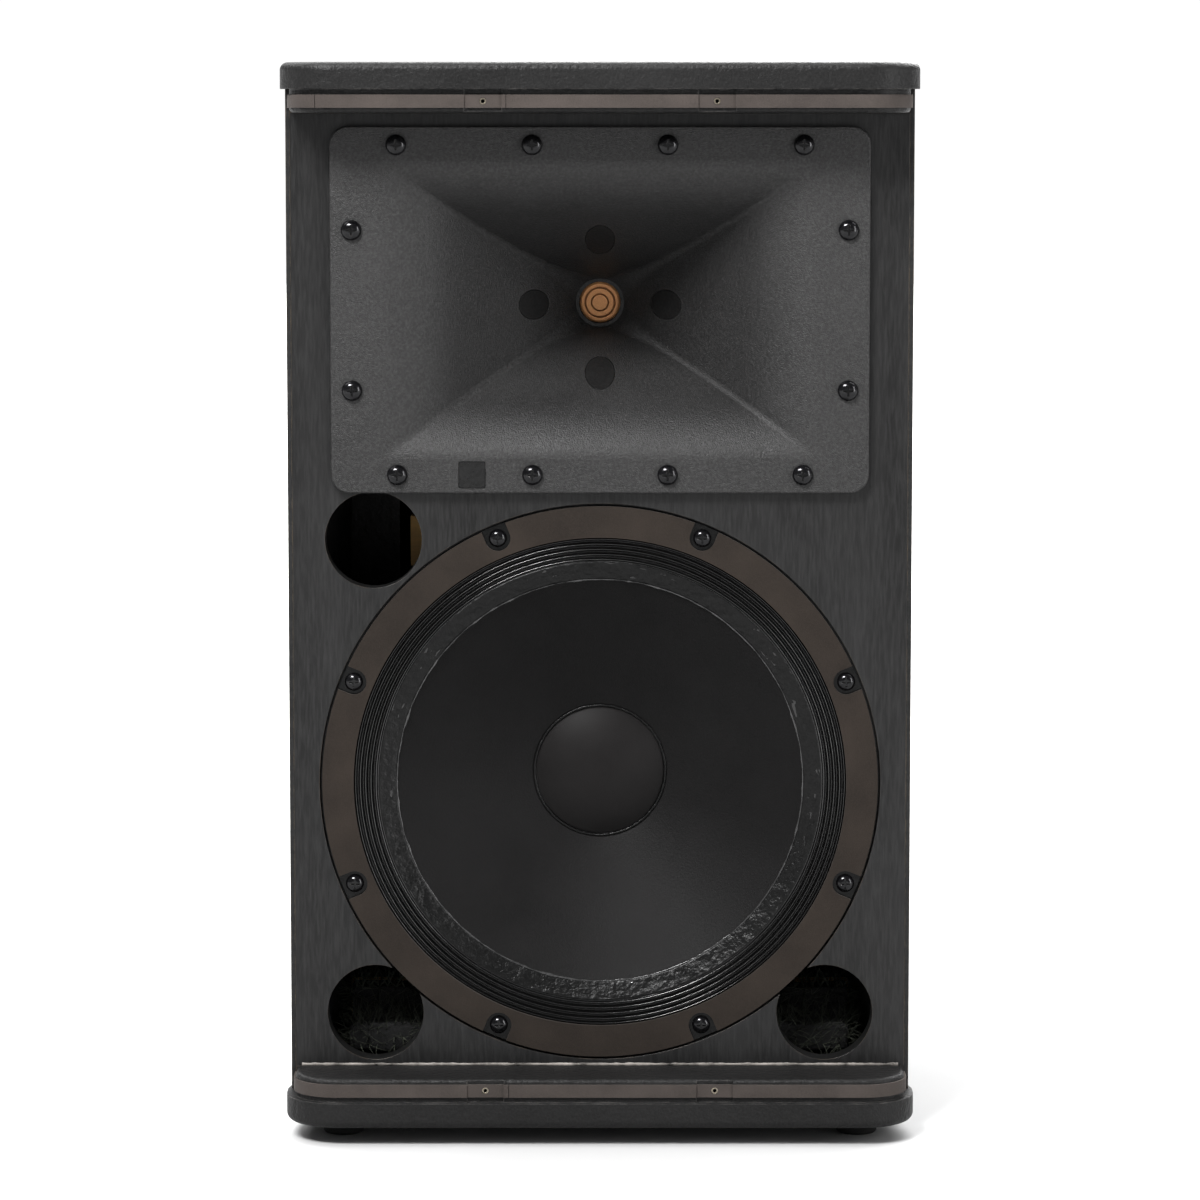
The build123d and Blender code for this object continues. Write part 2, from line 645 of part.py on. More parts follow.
# ================================================================ input panel and crossover
INPUT_WALL = 2.5
INPUT_FLANGE_T = 3.0
INPUT_FLOOR_Y = PANEL_BACK_Y - INPUT_DEPTH + INPUT_WALL
REAR_PLANE = Plane(origin=(0, PANEL_BACK_Y, INPUT_Z), x_dir=(-1, 0, 0), z_dir=(0, 1, 0))

with BuildPart() as input_panel:
    with BuildSketch(REAR_PLANE):
        RectangleRounded(*INPUT_FLANGE)
    extrude(amount=INPUT_FLANGE_T)
    width, height, corner = INPUT_CUT
    with BuildSketch(REAR_PLANE):
        RectangleRounded(width - 1, height - 1, corner)
    extrude(amount=-INPUT_DEPTH)
    with BuildSketch(REAR_PLANE.offset(INPUT_FLANGE_T)):
        RectangleRounded(width - 1 - 2 * INPUT_WALL, height - 1 - 2 * INPUT_WALL, corner - INPUT_WALL)
    extrude(amount=-(INPUT_FLANGE_T + INPUT_DEPTH - INPUT_WALL), mode=Mode.SUBTRACT)
    with BuildSketch(REAR_PLANE.offset(INPUT_FLANGE_T)):
        with GridLocations(158, 100, 2, 2):
            Circle(PILOT_R)
        with Locations((-SOCKET_X, 0), (SOCKET_X, 0)):
            Circle(SOCKET_R + 0.2)
    extrude(amount=-(INPUT_FLANGE_T + INPUT_DEPTH), mode=Mode.SUBTRACT)
save(input_panel, "input_panel")

with BuildPart() as panel_screws:
    add(right_handle_screws.part)
    add(mirror(right_handle_screws.part, about=Plane.YZ, mode=Mode.PRIVATE))
    with Locations(REAR_PLANE.offset(INPUT_FLANGE_T)):
        with GridLocations(158, 100, 2, 2):
            add(panel_screw)
save(panel_screws, "panel_screws")

SOCKET_BODY_L = 26.0
SOCKET_FACE = (28.0, 33.0, 3.0)
SOCKET_FACE_T = 2.4
SOCKET_PLANE = Plane(origin=(0, INPUT_FLOOR_Y, INPUT_Z), x_dir=(-1, 0, 0), z_dir=(0, 1, 0))

with BuildPart() as input_sockets:
    with BuildSketch(SOCKET_PLANE):
        with Locations((-SOCKET_X, 0), (SOCKET_X, 0)):
            RectangleRounded(*SOCKET_FACE)
    extrude(amount=SOCKET_FACE_T)
    with BuildSketch(SOCKET_PLANE):
        with Locations((-SOCKET_X, 0), (SOCKET_X, 0)):
            Circle(SOCKET_R)
    extrude(amount=-SOCKET_BODY_L)
    with BuildSketch(SOCKET_PLANE.offset(SOCKET_FACE_T)):
        with Locations((-SOCKET_X, 0), (SOCKET_X, 0)):
            Circle(SOCKET_R - 2)
            Circle(SOCKET_R - 5, mode=Mode.SUBTRACT)
    extrude(amount=-18, mode=Mode.SUBTRACT)
save(input_sockets, "input_sockets")

BOARD = (130.0, 92.0)
BOARD_T = 1.6
STANDOFF_L = 8.4
BOARD_BACK_Y = BACK_IN_Y - STANDOFF_L
BOARD_FRONT_Y = BOARD_BACK_Y - BOARD_T
BOARD_HOLES = (118.0, 80.0)

with BuildPart() as crossover_standoffs:
    with BuildSketch(Plane.XZ.offset(-BOARD_BACK_Y)):
        with Locations((0, BOARD_Z)):
            with GridLocations(*BOARD_HOLES, 2, 2):
                Circle(4)
    extrude(amount=-STANDOFF_L)
save(crossover_standoffs, "crossover_standoffs")

with BuildPart() as crossover_board:
    with BuildSketch(Plane.XZ.offset(-BOARD_FRONT_Y)):
        with Locations((0, BOARD_Z)):
            RectangleRounded(*BOARD, 3)
            with GridLocations(*BOARD_HOLES, 2, 2):
                Circle(1.7, mode=Mode.SUBTRACT)
    extrude(amount=-BOARD_T)
save(crossover_board, "crossover_board")

with BuildPart() as crossover_inductors:
    with BuildSketch(Plane.XZ.offset(-BOARD_FRONT_Y)):
        with Locations((-38, BOARD_Z + 16), (38, BOARD_Z + 16)):
            Circle(23)
            Circle(9, mode=Mode.SUBTRACT)
    extrude(amount=22)
save(crossover_inductors, "crossover_inductors")

CAPACITOR_R = 8.5

with BuildPart() as crossover_capacitors:
    for x, z in ((-36, BOARD_Z - 18), (0, BOARD_Z - 18), (36, BOARD_Z - 18)):
        with BuildSketch(Plane.YZ.offset(x - 16)):
            with Locations((BOARD_FRONT_Y - CAPACITOR_R, z)):
                Circle(CAPACITOR_R)
        extrude(amount=32)
save(crossover_capacitors, "crossover_capacitors")

with BuildPart() as crossover_resistors:
    with BuildSketch(Plane.XZ.offset(-BOARD_FRONT_Y)):
        with Locations((-32, BOARD_Z - 37), (32, BOARD_Z - 37)):
            Rectangle(48, 9)
    extrude(amount=9)
save(crossover_resistors, "crossover_resistors")

# ================================================================ horn


def horn_half(rise):
    """Half width and half height of the horn's inside, rise in front of the throat."""
    flare = max(0.0, rise - 100.0) / (HORN_DEPTH - 100.0)
    bell = 26.0 * (1 - math.sqrt(max(0.0, 1 - flare ** 2)))
    width = 17.0 + 0.84 * rise + bell
    height = 17.0 + 0.43 * rise + 0.0007 * rise ** 2 + bell * 0.7
    return width, height


def horn_corner(rise):
    """The inside corner radius shrinks from nearly round at the throat to a crease."""
    return 3.5 + 13.0 * max(0.0, 1 - rise / 45.0) ** 2


HORN_RISES = [0, 12, 28, 50, 75, 100, 112, 120, 125, 127.4, 128]


def horn_loft(extra, rises):
    """The horn's passage as one smooth solid, enlarged by extra on every side."""
    with BuildPart() as passage:
        for rise in rises:
            width, height = horn_half(rise)
            with BuildSketch(Plane.XZ.offset(-(THROAT_Y - rise))):
                with Locations((0, HORN_Z)):
                    RectangleRounded(2 * (width + extra), 2 * (height + extra), horn_corner(rise) + extra)
        loft()
    return passage.part


BADGE = (18.0, 18.0, 1.5)            # width, height and corner radius
BADGE_AT = (-87.5, HORN_Z - HORN_SCREW_Z)
BADGE_D = 1.6
BADGE_T = 1.2
BADGE_GAP = 0.3
BOSS_R = 62.0
TUBE_R = PLUG_R + 3.2
BOLT_SEAT = 4.0          # driver bolt heads sit this far in front of the throat
TUBE_REACH = {0: 54.0, 1: 88.0}      # beside and above the throat

horn_passage = horn_loft(0, HORN_RISES)
horn_outside = horn_loft(HORN_WALL, [0, 12, 28, 50, 75, 100, 112, 119, 125])

with BuildPart() as horn:
    with BuildSketch(Plane.XZ.offset(-HORN_FRONT_Y)):
        with Locations((0, HORN_Z)):
            RectangleRounded(*HORN_FLANGE)
    plate = extrude(amount=-HORN_FLANGE_T)
    fillet(plate.edges().group_by(Axis.Y)[0], 1.2)
    add(horn_outside)
    with BuildSketch(Plane.XZ.offset(-DRIVER_Y)):
        with Locations((0, HORN_Z)):
            Circle(BOSS_R)
    extrude(amount=HORN_BOSS_T + BOLT_SEAT)
    for index, point in enumerate(HORN_BOLTS):
        with BuildSketch(Plane.XZ.offset(-DRIVER_Y)):
            with Locations(point):
                Circle(TUBE_R)
        extrude(amount=HORN_BOSS_T + TUBE_REACH[index % 2])
    add(horn_passage, mode=Mode.SUBTRACT)
    with BuildSketch(Plane.XZ.offset(-DRIVER_Y)):
        with Locations((0, HORN_Z)):
            Circle(THROAT_R)
        with Locations(*HORN_BOLTS):
            Circle(3.3)
    extrude(amount=HORN_BOSS_T + BOLT_SEAT, mode=Mode.SUBTRACT)
    with BuildSketch(Plane.XZ.offset(-(THROAT_Y - BOLT_SEAT))):
        with Locations(*HORN_BOLTS):
            Circle(PLUG_R + 0.3)
    extrude(amount=HORN_DEPTH - BOLT_SEAT, mode=Mode.SUBTRACT)
    with BuildSketch(Plane.XZ.offset(-HORN_FRONT_Y)):
        with Locations(*HORN_SCREWS):
            Circle(PILOT_R + 0.3)
    extrude(amount=-HORN_FLANGE_T, mode=Mode.SUBTRACT)
    with BuildSketch(Plane.XZ.offset(-HORN_FRONT_Y)):
        with Locations(BADGE_AT):
            RectangleRounded(BADGE[0] + 2 * BADGE_GAP, BADGE[1] + 2 * BADGE_GAP, BADGE[2])
    extrude(amount=-BADGE_D, mode=Mode.SUBTRACT)
save(horn, "horn")

with BuildPart() as horn_badge:
    with BuildSketch(Plane.XZ.offset(-(HORN_FRONT_Y + BADGE_D))):
        with Locations(BADGE_AT):
            RectangleRounded(*BADGE)
    extrude(amount=BADGE_T)
save(horn_badge, "horn_badge")

PLUG_BACK = 14.0         # room left for a bolt head behind each plug

with BuildPart() as horn_plugs:
    for index, point in enumerate(HORN_BOLTS):
        with BuildSketch(Plane.XZ.offset(-(THROAT_Y - PLUG_BACK))):
            with Locations(point):
                Circle(PLUG_R)
        extrude(amount=TUBE_REACH[index % 2] - PLUG_BACK)
    add(horn_passage, mode=Mode.SUBTRACT)
save(horn_plugs, "horn_plugs")

with BuildPart() as horn_gasket:
    with BuildSketch(facing(0)):
        with Locations((0, HORN_Z)):
            RectangleRounded(HORN_FLANGE[0] - 2, HORN_FLANGE[1] - 2, HORN_FLANGE[2] - 1)
            RectangleRounded(*HORN_CUT, mode=Mode.SUBTRACT)
        with Locations(*HORN_SCREWS):
            Circle(PILOT_R + 0.3, mode=Mode.SUBTRACT)
    extrude(amount=HORN_GASKET_T)
save(horn_gasket, "horn_gasket")

with BuildPart() as horn_screws:
    front_screws(pan_screw(7.0, 4.4, 2.1, 22.0), HORN_FRONT_Y - BAFFLE_Y, HORN_SCREWS)
save(horn_screws, "horn_screws")

HF_BOLT_L = 20.0

with BuildPart() as hf_bolts:
    seat_depth = THROAT_Y - BOLT_SEAT - BAFFLE_Y
    with BuildSketch(facing(seat_depth)):
        with Locations(*HORN_BOLTS):
            Circle(5)
    extrude(amount=6)
    with BuildSketch(facing(seat_depth)):
        with Locations(*HORN_BOLTS):
            Circle(3)
    extrude(amount=-HF_BOLT_L)
    with BuildSketch(facing(seat_depth - 6)):
        with Locations(*HORN_BOLTS):
            RegularPolygon(2.9, 6)
    extrude(amount=-3, mode=Mode.SUBTRACT)
save(hf_bolts, "hf_bolts")

# ================================================================ compression driver
HF_PLATE_R = 60.0
HF_PLATE_T = 11.0
HF_MAGNET_T = 20.0
HF_TOP_T = 8.0
HF_POLE_R = 22.0
HF_COIL_R = 22.5
HF_GAP_R = 24.4
HF0 = DRIVER_Y - BAFFLE_Y                 # depth of the driver's front face
HF1 = HF0 + HF_PLATE_T
HF2 = HF1 + HF_MAGNET_T
HF3 = HF2 + HF_TOP_T

with BuildPart() as hf_pole_piece:
    add(ring(HF_PLATE_R, THROAT_R, HORN_Z, HF0, HF1))
    add(ring(HF_POLE_R, THROAT_R, HORN_Z, HF0, HF3))
    with BuildSketch(Plane.XZ.offset(-DRIVER_Y)):
        with Locations(*HORN_BOLTS):
            Circle(3.1)
    extrude(amount=-(HF_BOLT_L - HORN_BOSS_T - BOLT_SEAT + 1), mode=Mode.SUBTRACT)
save(hf_pole_piece, "hf_pole_piece")

with BuildPart() as hf_magnet:
    add(ring(58.0, 32.0, HORN_Z, HF1, HF2))
save(hf_magnet, "hf_magnet")

with BuildPart() as hf_top_plate:
    add(ring(58.0, HF_GAP_R, HORN_Z, HF2, HF3))
save(hf_top_plate, "hf_top_plate")

PHASE_FRONT = HF0 - HORN_BOSS_T + 5.0
PHASE_R = THROAT_R - 0.3
DIAPHRAGM_R = 21.8
DIAPHRAGM_RISE = 7.0

PHASE_BACK_D = HF3 + 5.0
PHASE_CROWN_D = HF3 + 4.2
PHASE_RIM_D = HF3 + 2.0
PHASE_BEVEL = 1.5
PHASE_GROOVES = [(11.0, 9.8), (6.4, 5.4)]
PHASE_GROOVE_D = 6.0

with BuildPart() as phase_plug:
    with BuildSketch(Plane.XY.offset(HORN_Z)):
        with BuildLine():
            back, crown, rim, front = [
                BAFFLE_Y + depth for depth in (PHASE_BACK_D, PHASE_CROWN_D, PHASE_RIM_D, PHASE_FRONT)
            ]
            Line((0, front), (0, back))
            ThreePointArc((0, back), (8.0, crown), (PHASE_R, rim))
            Line((PHASE_R, rim), (PHASE_R, front + PHASE_BEVEL))
            Line((PHASE_R, front + PHASE_BEVEL), (PHASE_R - PHASE_BEVEL, front))
            Line((PHASE_R - PHASE_BEVEL, front), (0, front))
        make_face()
    revolve(axis=axis_at(HORN_Z))
    for outer_r, inner_r in PHASE_GROOVES:
        with BuildSketch(facing(PHASE_FRONT)):
            with Locations((0, HORN_Z)):
                Circle(outer_r)
                Circle(inner_r, mode=Mode.SUBTRACT)
        extrude(amount=-PHASE_GROOVE_D, mode=Mode.SUBTRACT)
save(phase_plug, "phase_plug")

DIAPHRAGM_T = 0.5

with BuildPart() as hf_diaphragm:
    rim_y = BAFFLE_Y + HF3 + 2.4
    top_y = rim_y + DIAPHRAGM_RISE
    middle_r = DIAPHRAGM_R / 2
    middle_y = top_y - dome_point(DIAPHRAGM_R, DIAPHRAGM_RISE, middle_r)
    with BuildSketch(Plane.XY.offset(HORN_Z)):
        with BuildLine():
            ThreePointArc((0, top_y), (middle_r, middle_y), (DIAPHRAGM_R, rim_y))
            Line((DIAPHRAGM_R, rim_y), (27.0, rim_y))
            Line((27.0, rim_y), (27.0, rim_y + DIAPHRAGM_T))
            Line((27.0, rim_y + DIAPHRAGM_T), (DIAPHRAGM_R, rim_y + DIAPHRAGM_T))
            back_y = [y + DIAPHRAGM_T for y in (rim_y, middle_y, top_y)]
            ThreePointArc((DIAPHRAGM_R, back_y[0]), (middle_r, back_y[1]), (0, back_y[2]))
            Line((0, back_y[2]), (0, top_y))
        make_face()
    revolve(axis=axis_at(HORN_Z))
save(hf_diaphragm, "hf_diaphragm")

with BuildPart() as hf_voice_coil:
    add(ring(HF_COIL_R + 0.9, HF_COIL_R, HORN_Z, HF2 + 1.0, HF3 + 2.4))
save(hf_voice_coil, "hf_voice_coil")

with BuildPart() as hf_back_cover:
    with BuildSketch(Plane.XY.offset(HORN_Z)):
        ring_profile(
            (30.0, HF3), (56.0, HF3), (56.0, HF3 + 16), (48.0, HF3 + 24), (0, HF3 + 24),
            (0, HF3 + 21), (46.0, HF3 + 21), (52.0, HF3 + 15), (52.0, HF3 + 6), (30.0, HF3 + 6),
        )
    revolve(axis=axis_at(HORN_Z))
save(hf_back_cover, "hf_back_cover")

# ================================================================ woofer
FRAME_T = 5.5
FRAME_FRONT = WOOFER_REBATE_D - FRAME_T
LEDGE_R = 173.0
LEDGE_D = 1.2
FRAME_IN_R = 169.6
SHELL_FRONT_R = 166.0
SHELL_BACK_R = 93.0
SHELL_T = 5.0
SPIDER_D = 84.0
SPIDER_R = 82.0
TOP_PLATE_D = 104.0
TOP_PLATE_T = 8.0
MAGNET_T = 24.0
YOKE_T = 10.0
FRAME_ARMS = 8
WINDOW_R = (158.0, 104.0)            # outer and inner radius of the openings between the arms
ARM_DEG = 14.0

with BuildPart() as woofer_basket:
    with BuildSketch(Plane.XY.offset(WOOFER_Z)):
        ring_profile(
            (LEDGE_R, FRAME_FRONT), (FRAME_R, FRAME_FRONT), (FRAME_R, WOOFER_REBATE_D),
            (171.0, WOOFER_REBATE_D), (171.0, WOOFER_REBATE_D + 4), (SHELL_BACK_R, 90.0),
            (SHELL_BACK_R, TOP_PLATE_D), (62.0, TOP_PLATE_D), (62.0, TOP_PLATE_D - 4),
            (SHELL_BACK_R - SHELL_T, TOP_PLATE_D - 4), (SHELL_BACK_R - SHELL_T, SPIDER_D + 4),
            (SPIDER_R - 3, SPIDER_D + 4), (SPIDER_R - 3, SPIDER_D + 1),
            (SHELL_BACK_R - 2, SPIDER_D + 1), (SHELL_FRONT_R - 1, WOOFER_REBATE_D + 3.5),
            (SHELL_FRONT_R, FRAME_FRONT + LEDGE_D + 2.5), (FRAME_IN_R, FRAME_FRONT + LEDGE_D + 2.5),
            (FRAME_IN_R, FRAME_FRONT + LEDGE_D), (LEDGE_R, FRAME_FRONT + LEDGE_D),
        )
    revolve(axis=axis_at(WOOFER_Z))
    with BuildSketch(facing(15.0)):
        with Locations((0, WOOFER_Z)):
            with PolarLocations(0, FRAME_ARMS, 180.0 / FRAME_ARMS):
                half = math.radians((360.0 / FRAME_ARMS - ARM_DEG) / 2)
                (rim_x, rim_z), (hub_x, hub_z) = [
                    (radius * math.cos(half), radius * math.sin(half)) for radius in WINDOW_R
                ]
                with BuildLine():
                    ThreePointArc((rim_x, -rim_z), (WINDOW_R[0], 0), (rim_x, rim_z))
                    Line((rim_x, rim_z), (hub_x, hub_z))
                    ThreePointArc((hub_x, hub_z), (WINDOW_R[1], 0), (hub_x, -hub_z))
                    Line((hub_x, -hub_z), (rim_x, -rim_z))
                make_face()
    extrude(amount=-72.0, mode=Mode.SUBTRACT)
    with Locations((0, BAFFLE_Y + 94.0, WOOFER_Z + 93.0)):
        Box(30, 14, 8)
    with BuildSketch(facing(WOOFER_REBATE_D)):
        with Locations(*FRAME_SCREWS):
            Circle(FRAME_HOLE_R)
    extrude(amount=FRAME_T, mode=Mode.SUBTRACT)
save(woofer_basket, "woofer_basket")

GASKET_FRONT = -0.6
GASKET_IN_R = 170.0
SCREW_NOTCH_W = 17.5

with BuildPart() as woofer_gasket:
    with BuildSketch(facing(FRAME_FRONT)):
        with Locations((0, WOOFER_Z)):
            Circle(FRAME_R - 0.3)
            Circle(GASKET_IN_R, mode=Mode.SUBTRACT)
            with PolarLocations(FRAME_BOLT_R, FRAME_BOLTS, 180.0 / FRAME_BOLTS):
                Circle(SCREW_NOTCH_W / 2, mode=Mode.SUBTRACT)
                with Locations((10, 0)):
                    Rectangle(20, SCREW_NOTCH_W, mode=Mode.SUBTRACT)
    extrude(amount=FRAME_FRONT - GASKET_FRONT)
save(woofer_gasket, "woofer_gasket")

FRAME_SCREW_L = 24.0

with BuildPart() as woofer_screws:
    front_screws(pan_screw(6.2, 4.0, 2.9, FRAME_SCREW_L), FRAME_FRONT, FRAME_SCREWS)
save(woofer_screws, "woofer_screws")

with BuildPart() as woofer_nuts:
    with BuildSketch(facing(BAFFLE_T)):
        with Locations(*FRAME_SCREWS):
            Circle(6.5)
            Circle(3.1, mode=Mode.SUBTRACT)
    extrude(amount=-5)
save(woofer_nuts, "woofer_nuts")

CONE_RIM = (152.8, 5.2)              # radius and depth of the cone's outer edge
CONE_BAND = (140.4, 10.0)            # inner edge of the glued band
CAP_SEAT = (45.5, 64.0)              # where the dust cap is glued
CONE_NECK = (38.5, 69.0)
CONE_T = 1.3
ROLLS = 4
ROLL_DEPTH = 0.9
SURROUND_T = 1.0


def at(point, extra=0.0):
    """A (radius, depth) pair as a sketch point, moved back by extra."""
    return (point[0], BAFFLE_Y + point[1] + extra)


with BuildPart() as woofer_surround:
    roll = (FRAME_IN_R - CONE_RIM[0]) / (2 * ROLLS)
    level = FRAME_FRONT + LEDGE_D - SURROUND_T
    with BuildSketch(Plane.XY.offset(WOOFER_Z)):
        with BuildLine():
            for extra in (0.0, SURROUND_T):
                start = (FRAME_IN_R, BAFFLE_Y + level + extra)
                Line((LEDGE_R - 0.3, start[1]), start)
                for step in range(2 * ROLLS):
                    bend = ROLL_DEPTH if step % 2 else -ROLL_DEPTH
                    middle = (start[0] - roll / 2, start[1] + bend)
                    end = (start[0] - roll, start[1])
                    ThreePointArc(start, middle, end)
                    start = end
                Line(start, (CONE_RIM[0] - 0.3, start[1]))
            for radius in (LEDGE_R - 0.3, CONE_RIM[0] - 0.3):
                Line((radius, BAFFLE_Y + level), (radius, BAFFLE_Y + level + SURROUND_T))
        make_face()
    revolve(axis=axis_at(WOOFER_Z))
save(woofer_surround, "woofer_surround")

with BuildPart() as woofer_cone:
    with BuildSketch(Plane.XY.offset(WOOFER_Z)):
        with BuildLine():
            Line(at(CONE_RIM), at(CONE_BAND))
            ThreePointArc(at(CONE_BAND), at((90.0, 36.5)), at(CAP_SEAT))
            Line(at(CAP_SEAT), at(CONE_NECK))
            Line(at(CONE_NECK), at(CONE_NECK, CONE_T))
            Line(at(CONE_NECK, CONE_T), at(CAP_SEAT, CONE_T))
            ThreePointArc(at(CAP_SEAT, CONE_T), at((90.0, 36.5), CONE_T), at(CONE_BAND, CONE_T))
            Line(at(CONE_BAND, CONE_T), at(CONE_RIM, CONE_T))
            Line(at(CONE_RIM, CONE_T), at(CONE_RIM))
        make_face()
    revolve(axis=axis_at(WOOFER_Z))
save(woofer_cone, "woofer_cone")

DUST_RISE = 13.0
DUST_T = 0.8

with BuildPart() as dust_cap:
    rim_r, rim_d = CAP_SEAT[0], CAP_SEAT[1] - 0.4
    inner_r, inner_rise = rim_r - 1.2, DUST_RISE - DUST_T
    top = rim_d - DUST_RISE
    middle_r = rim_r / 2
    with BuildSketch(Plane.XY.offset(WOOFER_Z)):
        with BuildLine():
            middle_d = top + dome_point(rim_r, DUST_RISE, middle_r)
            ThreePointArc(at((0, top)), at((middle_r, middle_d)), at((rim_r, rim_d)))
            Line(at((rim_r, rim_d)), at((inner_r, rim_d)))
            ThreePointArc(
                at((inner_r, rim_d)),
                at((middle_r, top + DUST_T + dome_point(inner_r, inner_rise, middle_r))),
                at((0, top + DUST_T)),
            )
            Line(at((0, top + DUST_T)), at((0, top)))
        make_face()
    revolve(axis=axis_at(WOOFER_Z))
save(dust_cap, "dust_cap")

FORMER_R = 38.0
FORMER_T = 0.4
COIL_T = 1.2

with BuildPart() as voice_coil_former:
    add(ring(FORMER_R + FORMER_T, FORMER_R, WOOFER_Z, CAP_SEAT[1], TOP_PLATE_D + 14))
save(voice_coil_former, "voice_coil_former")

with BuildPart() as voice_coil:
    inside_r = FORMER_R + FORMER_T
    add(ring(inside_r + COIL_T, inside_r, WOOFER_Z, TOP_PLATE_D - 6, TOP_PLATE_D + 14))
save(voice_coil, "voice_coil")

SPIDER_WAVES = 6
SPIDER_T = 0.8
SPIDER_DEPTH = 1.3

with BuildPart() as woofer_spider:
    inner = FORMER_R + FORMER_T + 0.2
    wave = (SPIDER_R - 4 - inner) / (2 * SPIDER_WAVES)
    with BuildSketch(Plane.XY.offset(WOOFER_Z)):
        with BuildLine():
            for extra in (0.0, SPIDER_T):
                start = (inner, BAFFLE_Y + SPIDER_D + extra)
                for step in range(2 * SPIDER_WAVES):
                    bend = SPIDER_DEPTH if step % 2 else -SPIDER_DEPTH
                    end = (start[0] + wave, start[1])
                    ThreePointArc(start, (start[0] + wave / 2, start[1] + bend), end)
                    start = end
                Line(start, (SPIDER_R + 4, start[1]))
            for radius in (inner, SPIDER_R + 4):
                Line((radius, BAFFLE_Y + SPIDER_D), (radius, BAFFLE_Y + SPIDER_D + SPIDER_T))
        make_face()
    revolve(axis=axis_at(WOOFER_Z))
save(woofer_spider, "woofer_spider")

TERMINAL_LOW = 97.0
TERMINAL_BACK_D = 99.0

with BuildPart() as woofer_terminals:
    with Locations((0, BAFFLE_Y + TERMINAL_BACK_D - 5, WOOFER_Z + TERMINAL_LOW + 4)):
        Box(26, 10, 8)
save(woofer_terminals, "woofer_terminals")

MAGNET_D = TOP_PLATE_D + TOP_PLATE_T
YOKE_D = MAGNET_D + MAGNET_T

with BuildPart() as woofer_top_plate:
    add(ring(80.0, 40.6, WOOFER_Z, TOP_PLATE_D, MAGNET_D))
save(woofer_top_plate, "woofer_top_plate")

with BuildPart() as woofer_magnet:
    add(ring(90.0, 52.0, WOOFER_Z, MAGNET_D, YOKE_D))
save(woofer_magnet, "woofer_magnet")

with BuildPart() as woofer_yoke:
    add(ring(86.0, 12.0, WOOFER_Z, YOKE_D, YOKE_D + YOKE_T))
    add(ring(36.9, 12.0, WOOFER_Z, TOP_PLATE_D, YOKE_D))
save(woofer_yoke, "woofer_yoke")

# ================================================================ damping and leads
WADDING_T = 25.0
WADDING_GAP = 0.5
WADDING_TALL = 45.0      # fold of wadding behind each lower port
WADDING_FOLD_Y = BAFFLE_Y + 62.0
WADDING_FOLD_X = 102.0
BRACE_FRONT_Y = BAFFLE_Y + BRACE_DEPTH
BRACE_BACK_Y = BRACE_FRONT_Y + BRACE_T

with BuildPart() as floor_wadding:
    with BuildSketch(Plane.XY.offset(BAFFLE_LOW + WADDING_GAP)):
        for y0, y1 in ((BAFFLE_BACK_Y + 10, BRACE_FRONT_Y - 2), (BRACE_BACK_Y + 2, BACK_IN_Y - BATTEN - 2)):
            half = inner_half(y1) - 2
            with Locations((0, (y0 + y1) / 2)):
                Rectangle(2 * half, y1 - y0)
        with Locations((0, POLE_Y)):
            Circle(POLE_TUBE_R + 3, mode=Mode.SUBTRACT)
    extrude(amount=WADDING_T)
    with BuildSketch(Plane.XY.offset(BAFFLE_LOW + WADDING_GAP)):
        fold_end_y = BRACE_FRONT_Y - 2
        fold_end_x = inner_half(fold_end_y) - 2
        fold_at = ((WADDING_FOLD_X + fold_end_x) / 2, (WADDING_FOLD_Y + fold_end_y) / 2)
        with Locations(fold_at, (-fold_at[0], fold_at[1])):
            Rectangle(fold_end_x - WADDING_FOLD_X, fold_end_y - WADDING_FOLD_Y)
    extrude(amount=WADDING_TALL)
save(floor_wadding, "floor_wadding")

with BuildPart() as back_wadding:
    with BuildSketch(Plane.XZ.offset(-(BACK_IN_Y - FLY_FLANGE_T - 2))):
        with Locations((0, 510)):
            Rectangle(220, 250)
    extrude(amount=WADDING_T)
save(back_wadding, "back_wadding")


def lead(name, diameter, points):
    """A cable along straight runs and tangent arcs, each arc as large as its runs allow."""
    places = [Vector(*point) for point in points]
    radii = []
    for before, here, after in zip(places, places[1:], places[2:]):
        turn = math.radians((here - before).get_angle(after - here))
        radii.append(0.45 * min((here - before).length, (after - here).length) / math.tan(turn / 2))
    with BuildPart() as cable:
        with BuildLine() as route:
            FilletPolyline(*points, radius=radii)
        with BuildSketch(Plane(origin=points[0], z_dir=places[1] - places[0])):
            Circle(diameter / 2)
        sweep(path=route.line)
    length = sum(edge.length for edge in route.edges())
    ratio = cable.part.volume / (math.pi * diameter ** 2 / 4 * length)
    bends = [round(radius, 1) for radius in radii]
    print(name, "radii", bends, "length", round(length), "ratio", round(ratio, 4))
    save(cable, name)


lead("woofer_lead", 5.0, [
    (0, BAFFLE_Y + TERMINAL_BACK_D, WOOFER_Z + TERMINAL_LOW + 4),
    (0, -30, 345), (2, 0, 350), (8, 50, 366), (14, 100, 374), (19, 136, 368), (20, 158, 361),
    (20, BOARD_FRONT_Y, 361),
])
lead("horn_lead", 4.0, [
    (0, BAFFLE_Y + HF3 + 24, HORN_Z - 32),
    (0, 60, HORN_Z - 32), (0, 82, 510), (4, 98, 470), (2, 116, 428), (-8, 136, 396), (-16, 152, 375),
    (-20, 164, 362), (-20, BOARD_FRONT_Y, 362),
])
lead("input_lead", 5.0, [
    (SOCKET_X, INPUT_FLOOR_Y - SOCKET_BODY_L, INPUT_Z),
    (SOCKET_X, 130, INPUT_Z), (32, 116, 194), (26, 116, 222), (16, 126, 250), (6, 144, 270), (0, 160, 281),
    (0, BOARD_FRONT_Y, 281),
])
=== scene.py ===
import json
import math
import random

import bmesh
import bpy
import numpy as np
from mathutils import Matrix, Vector, noise


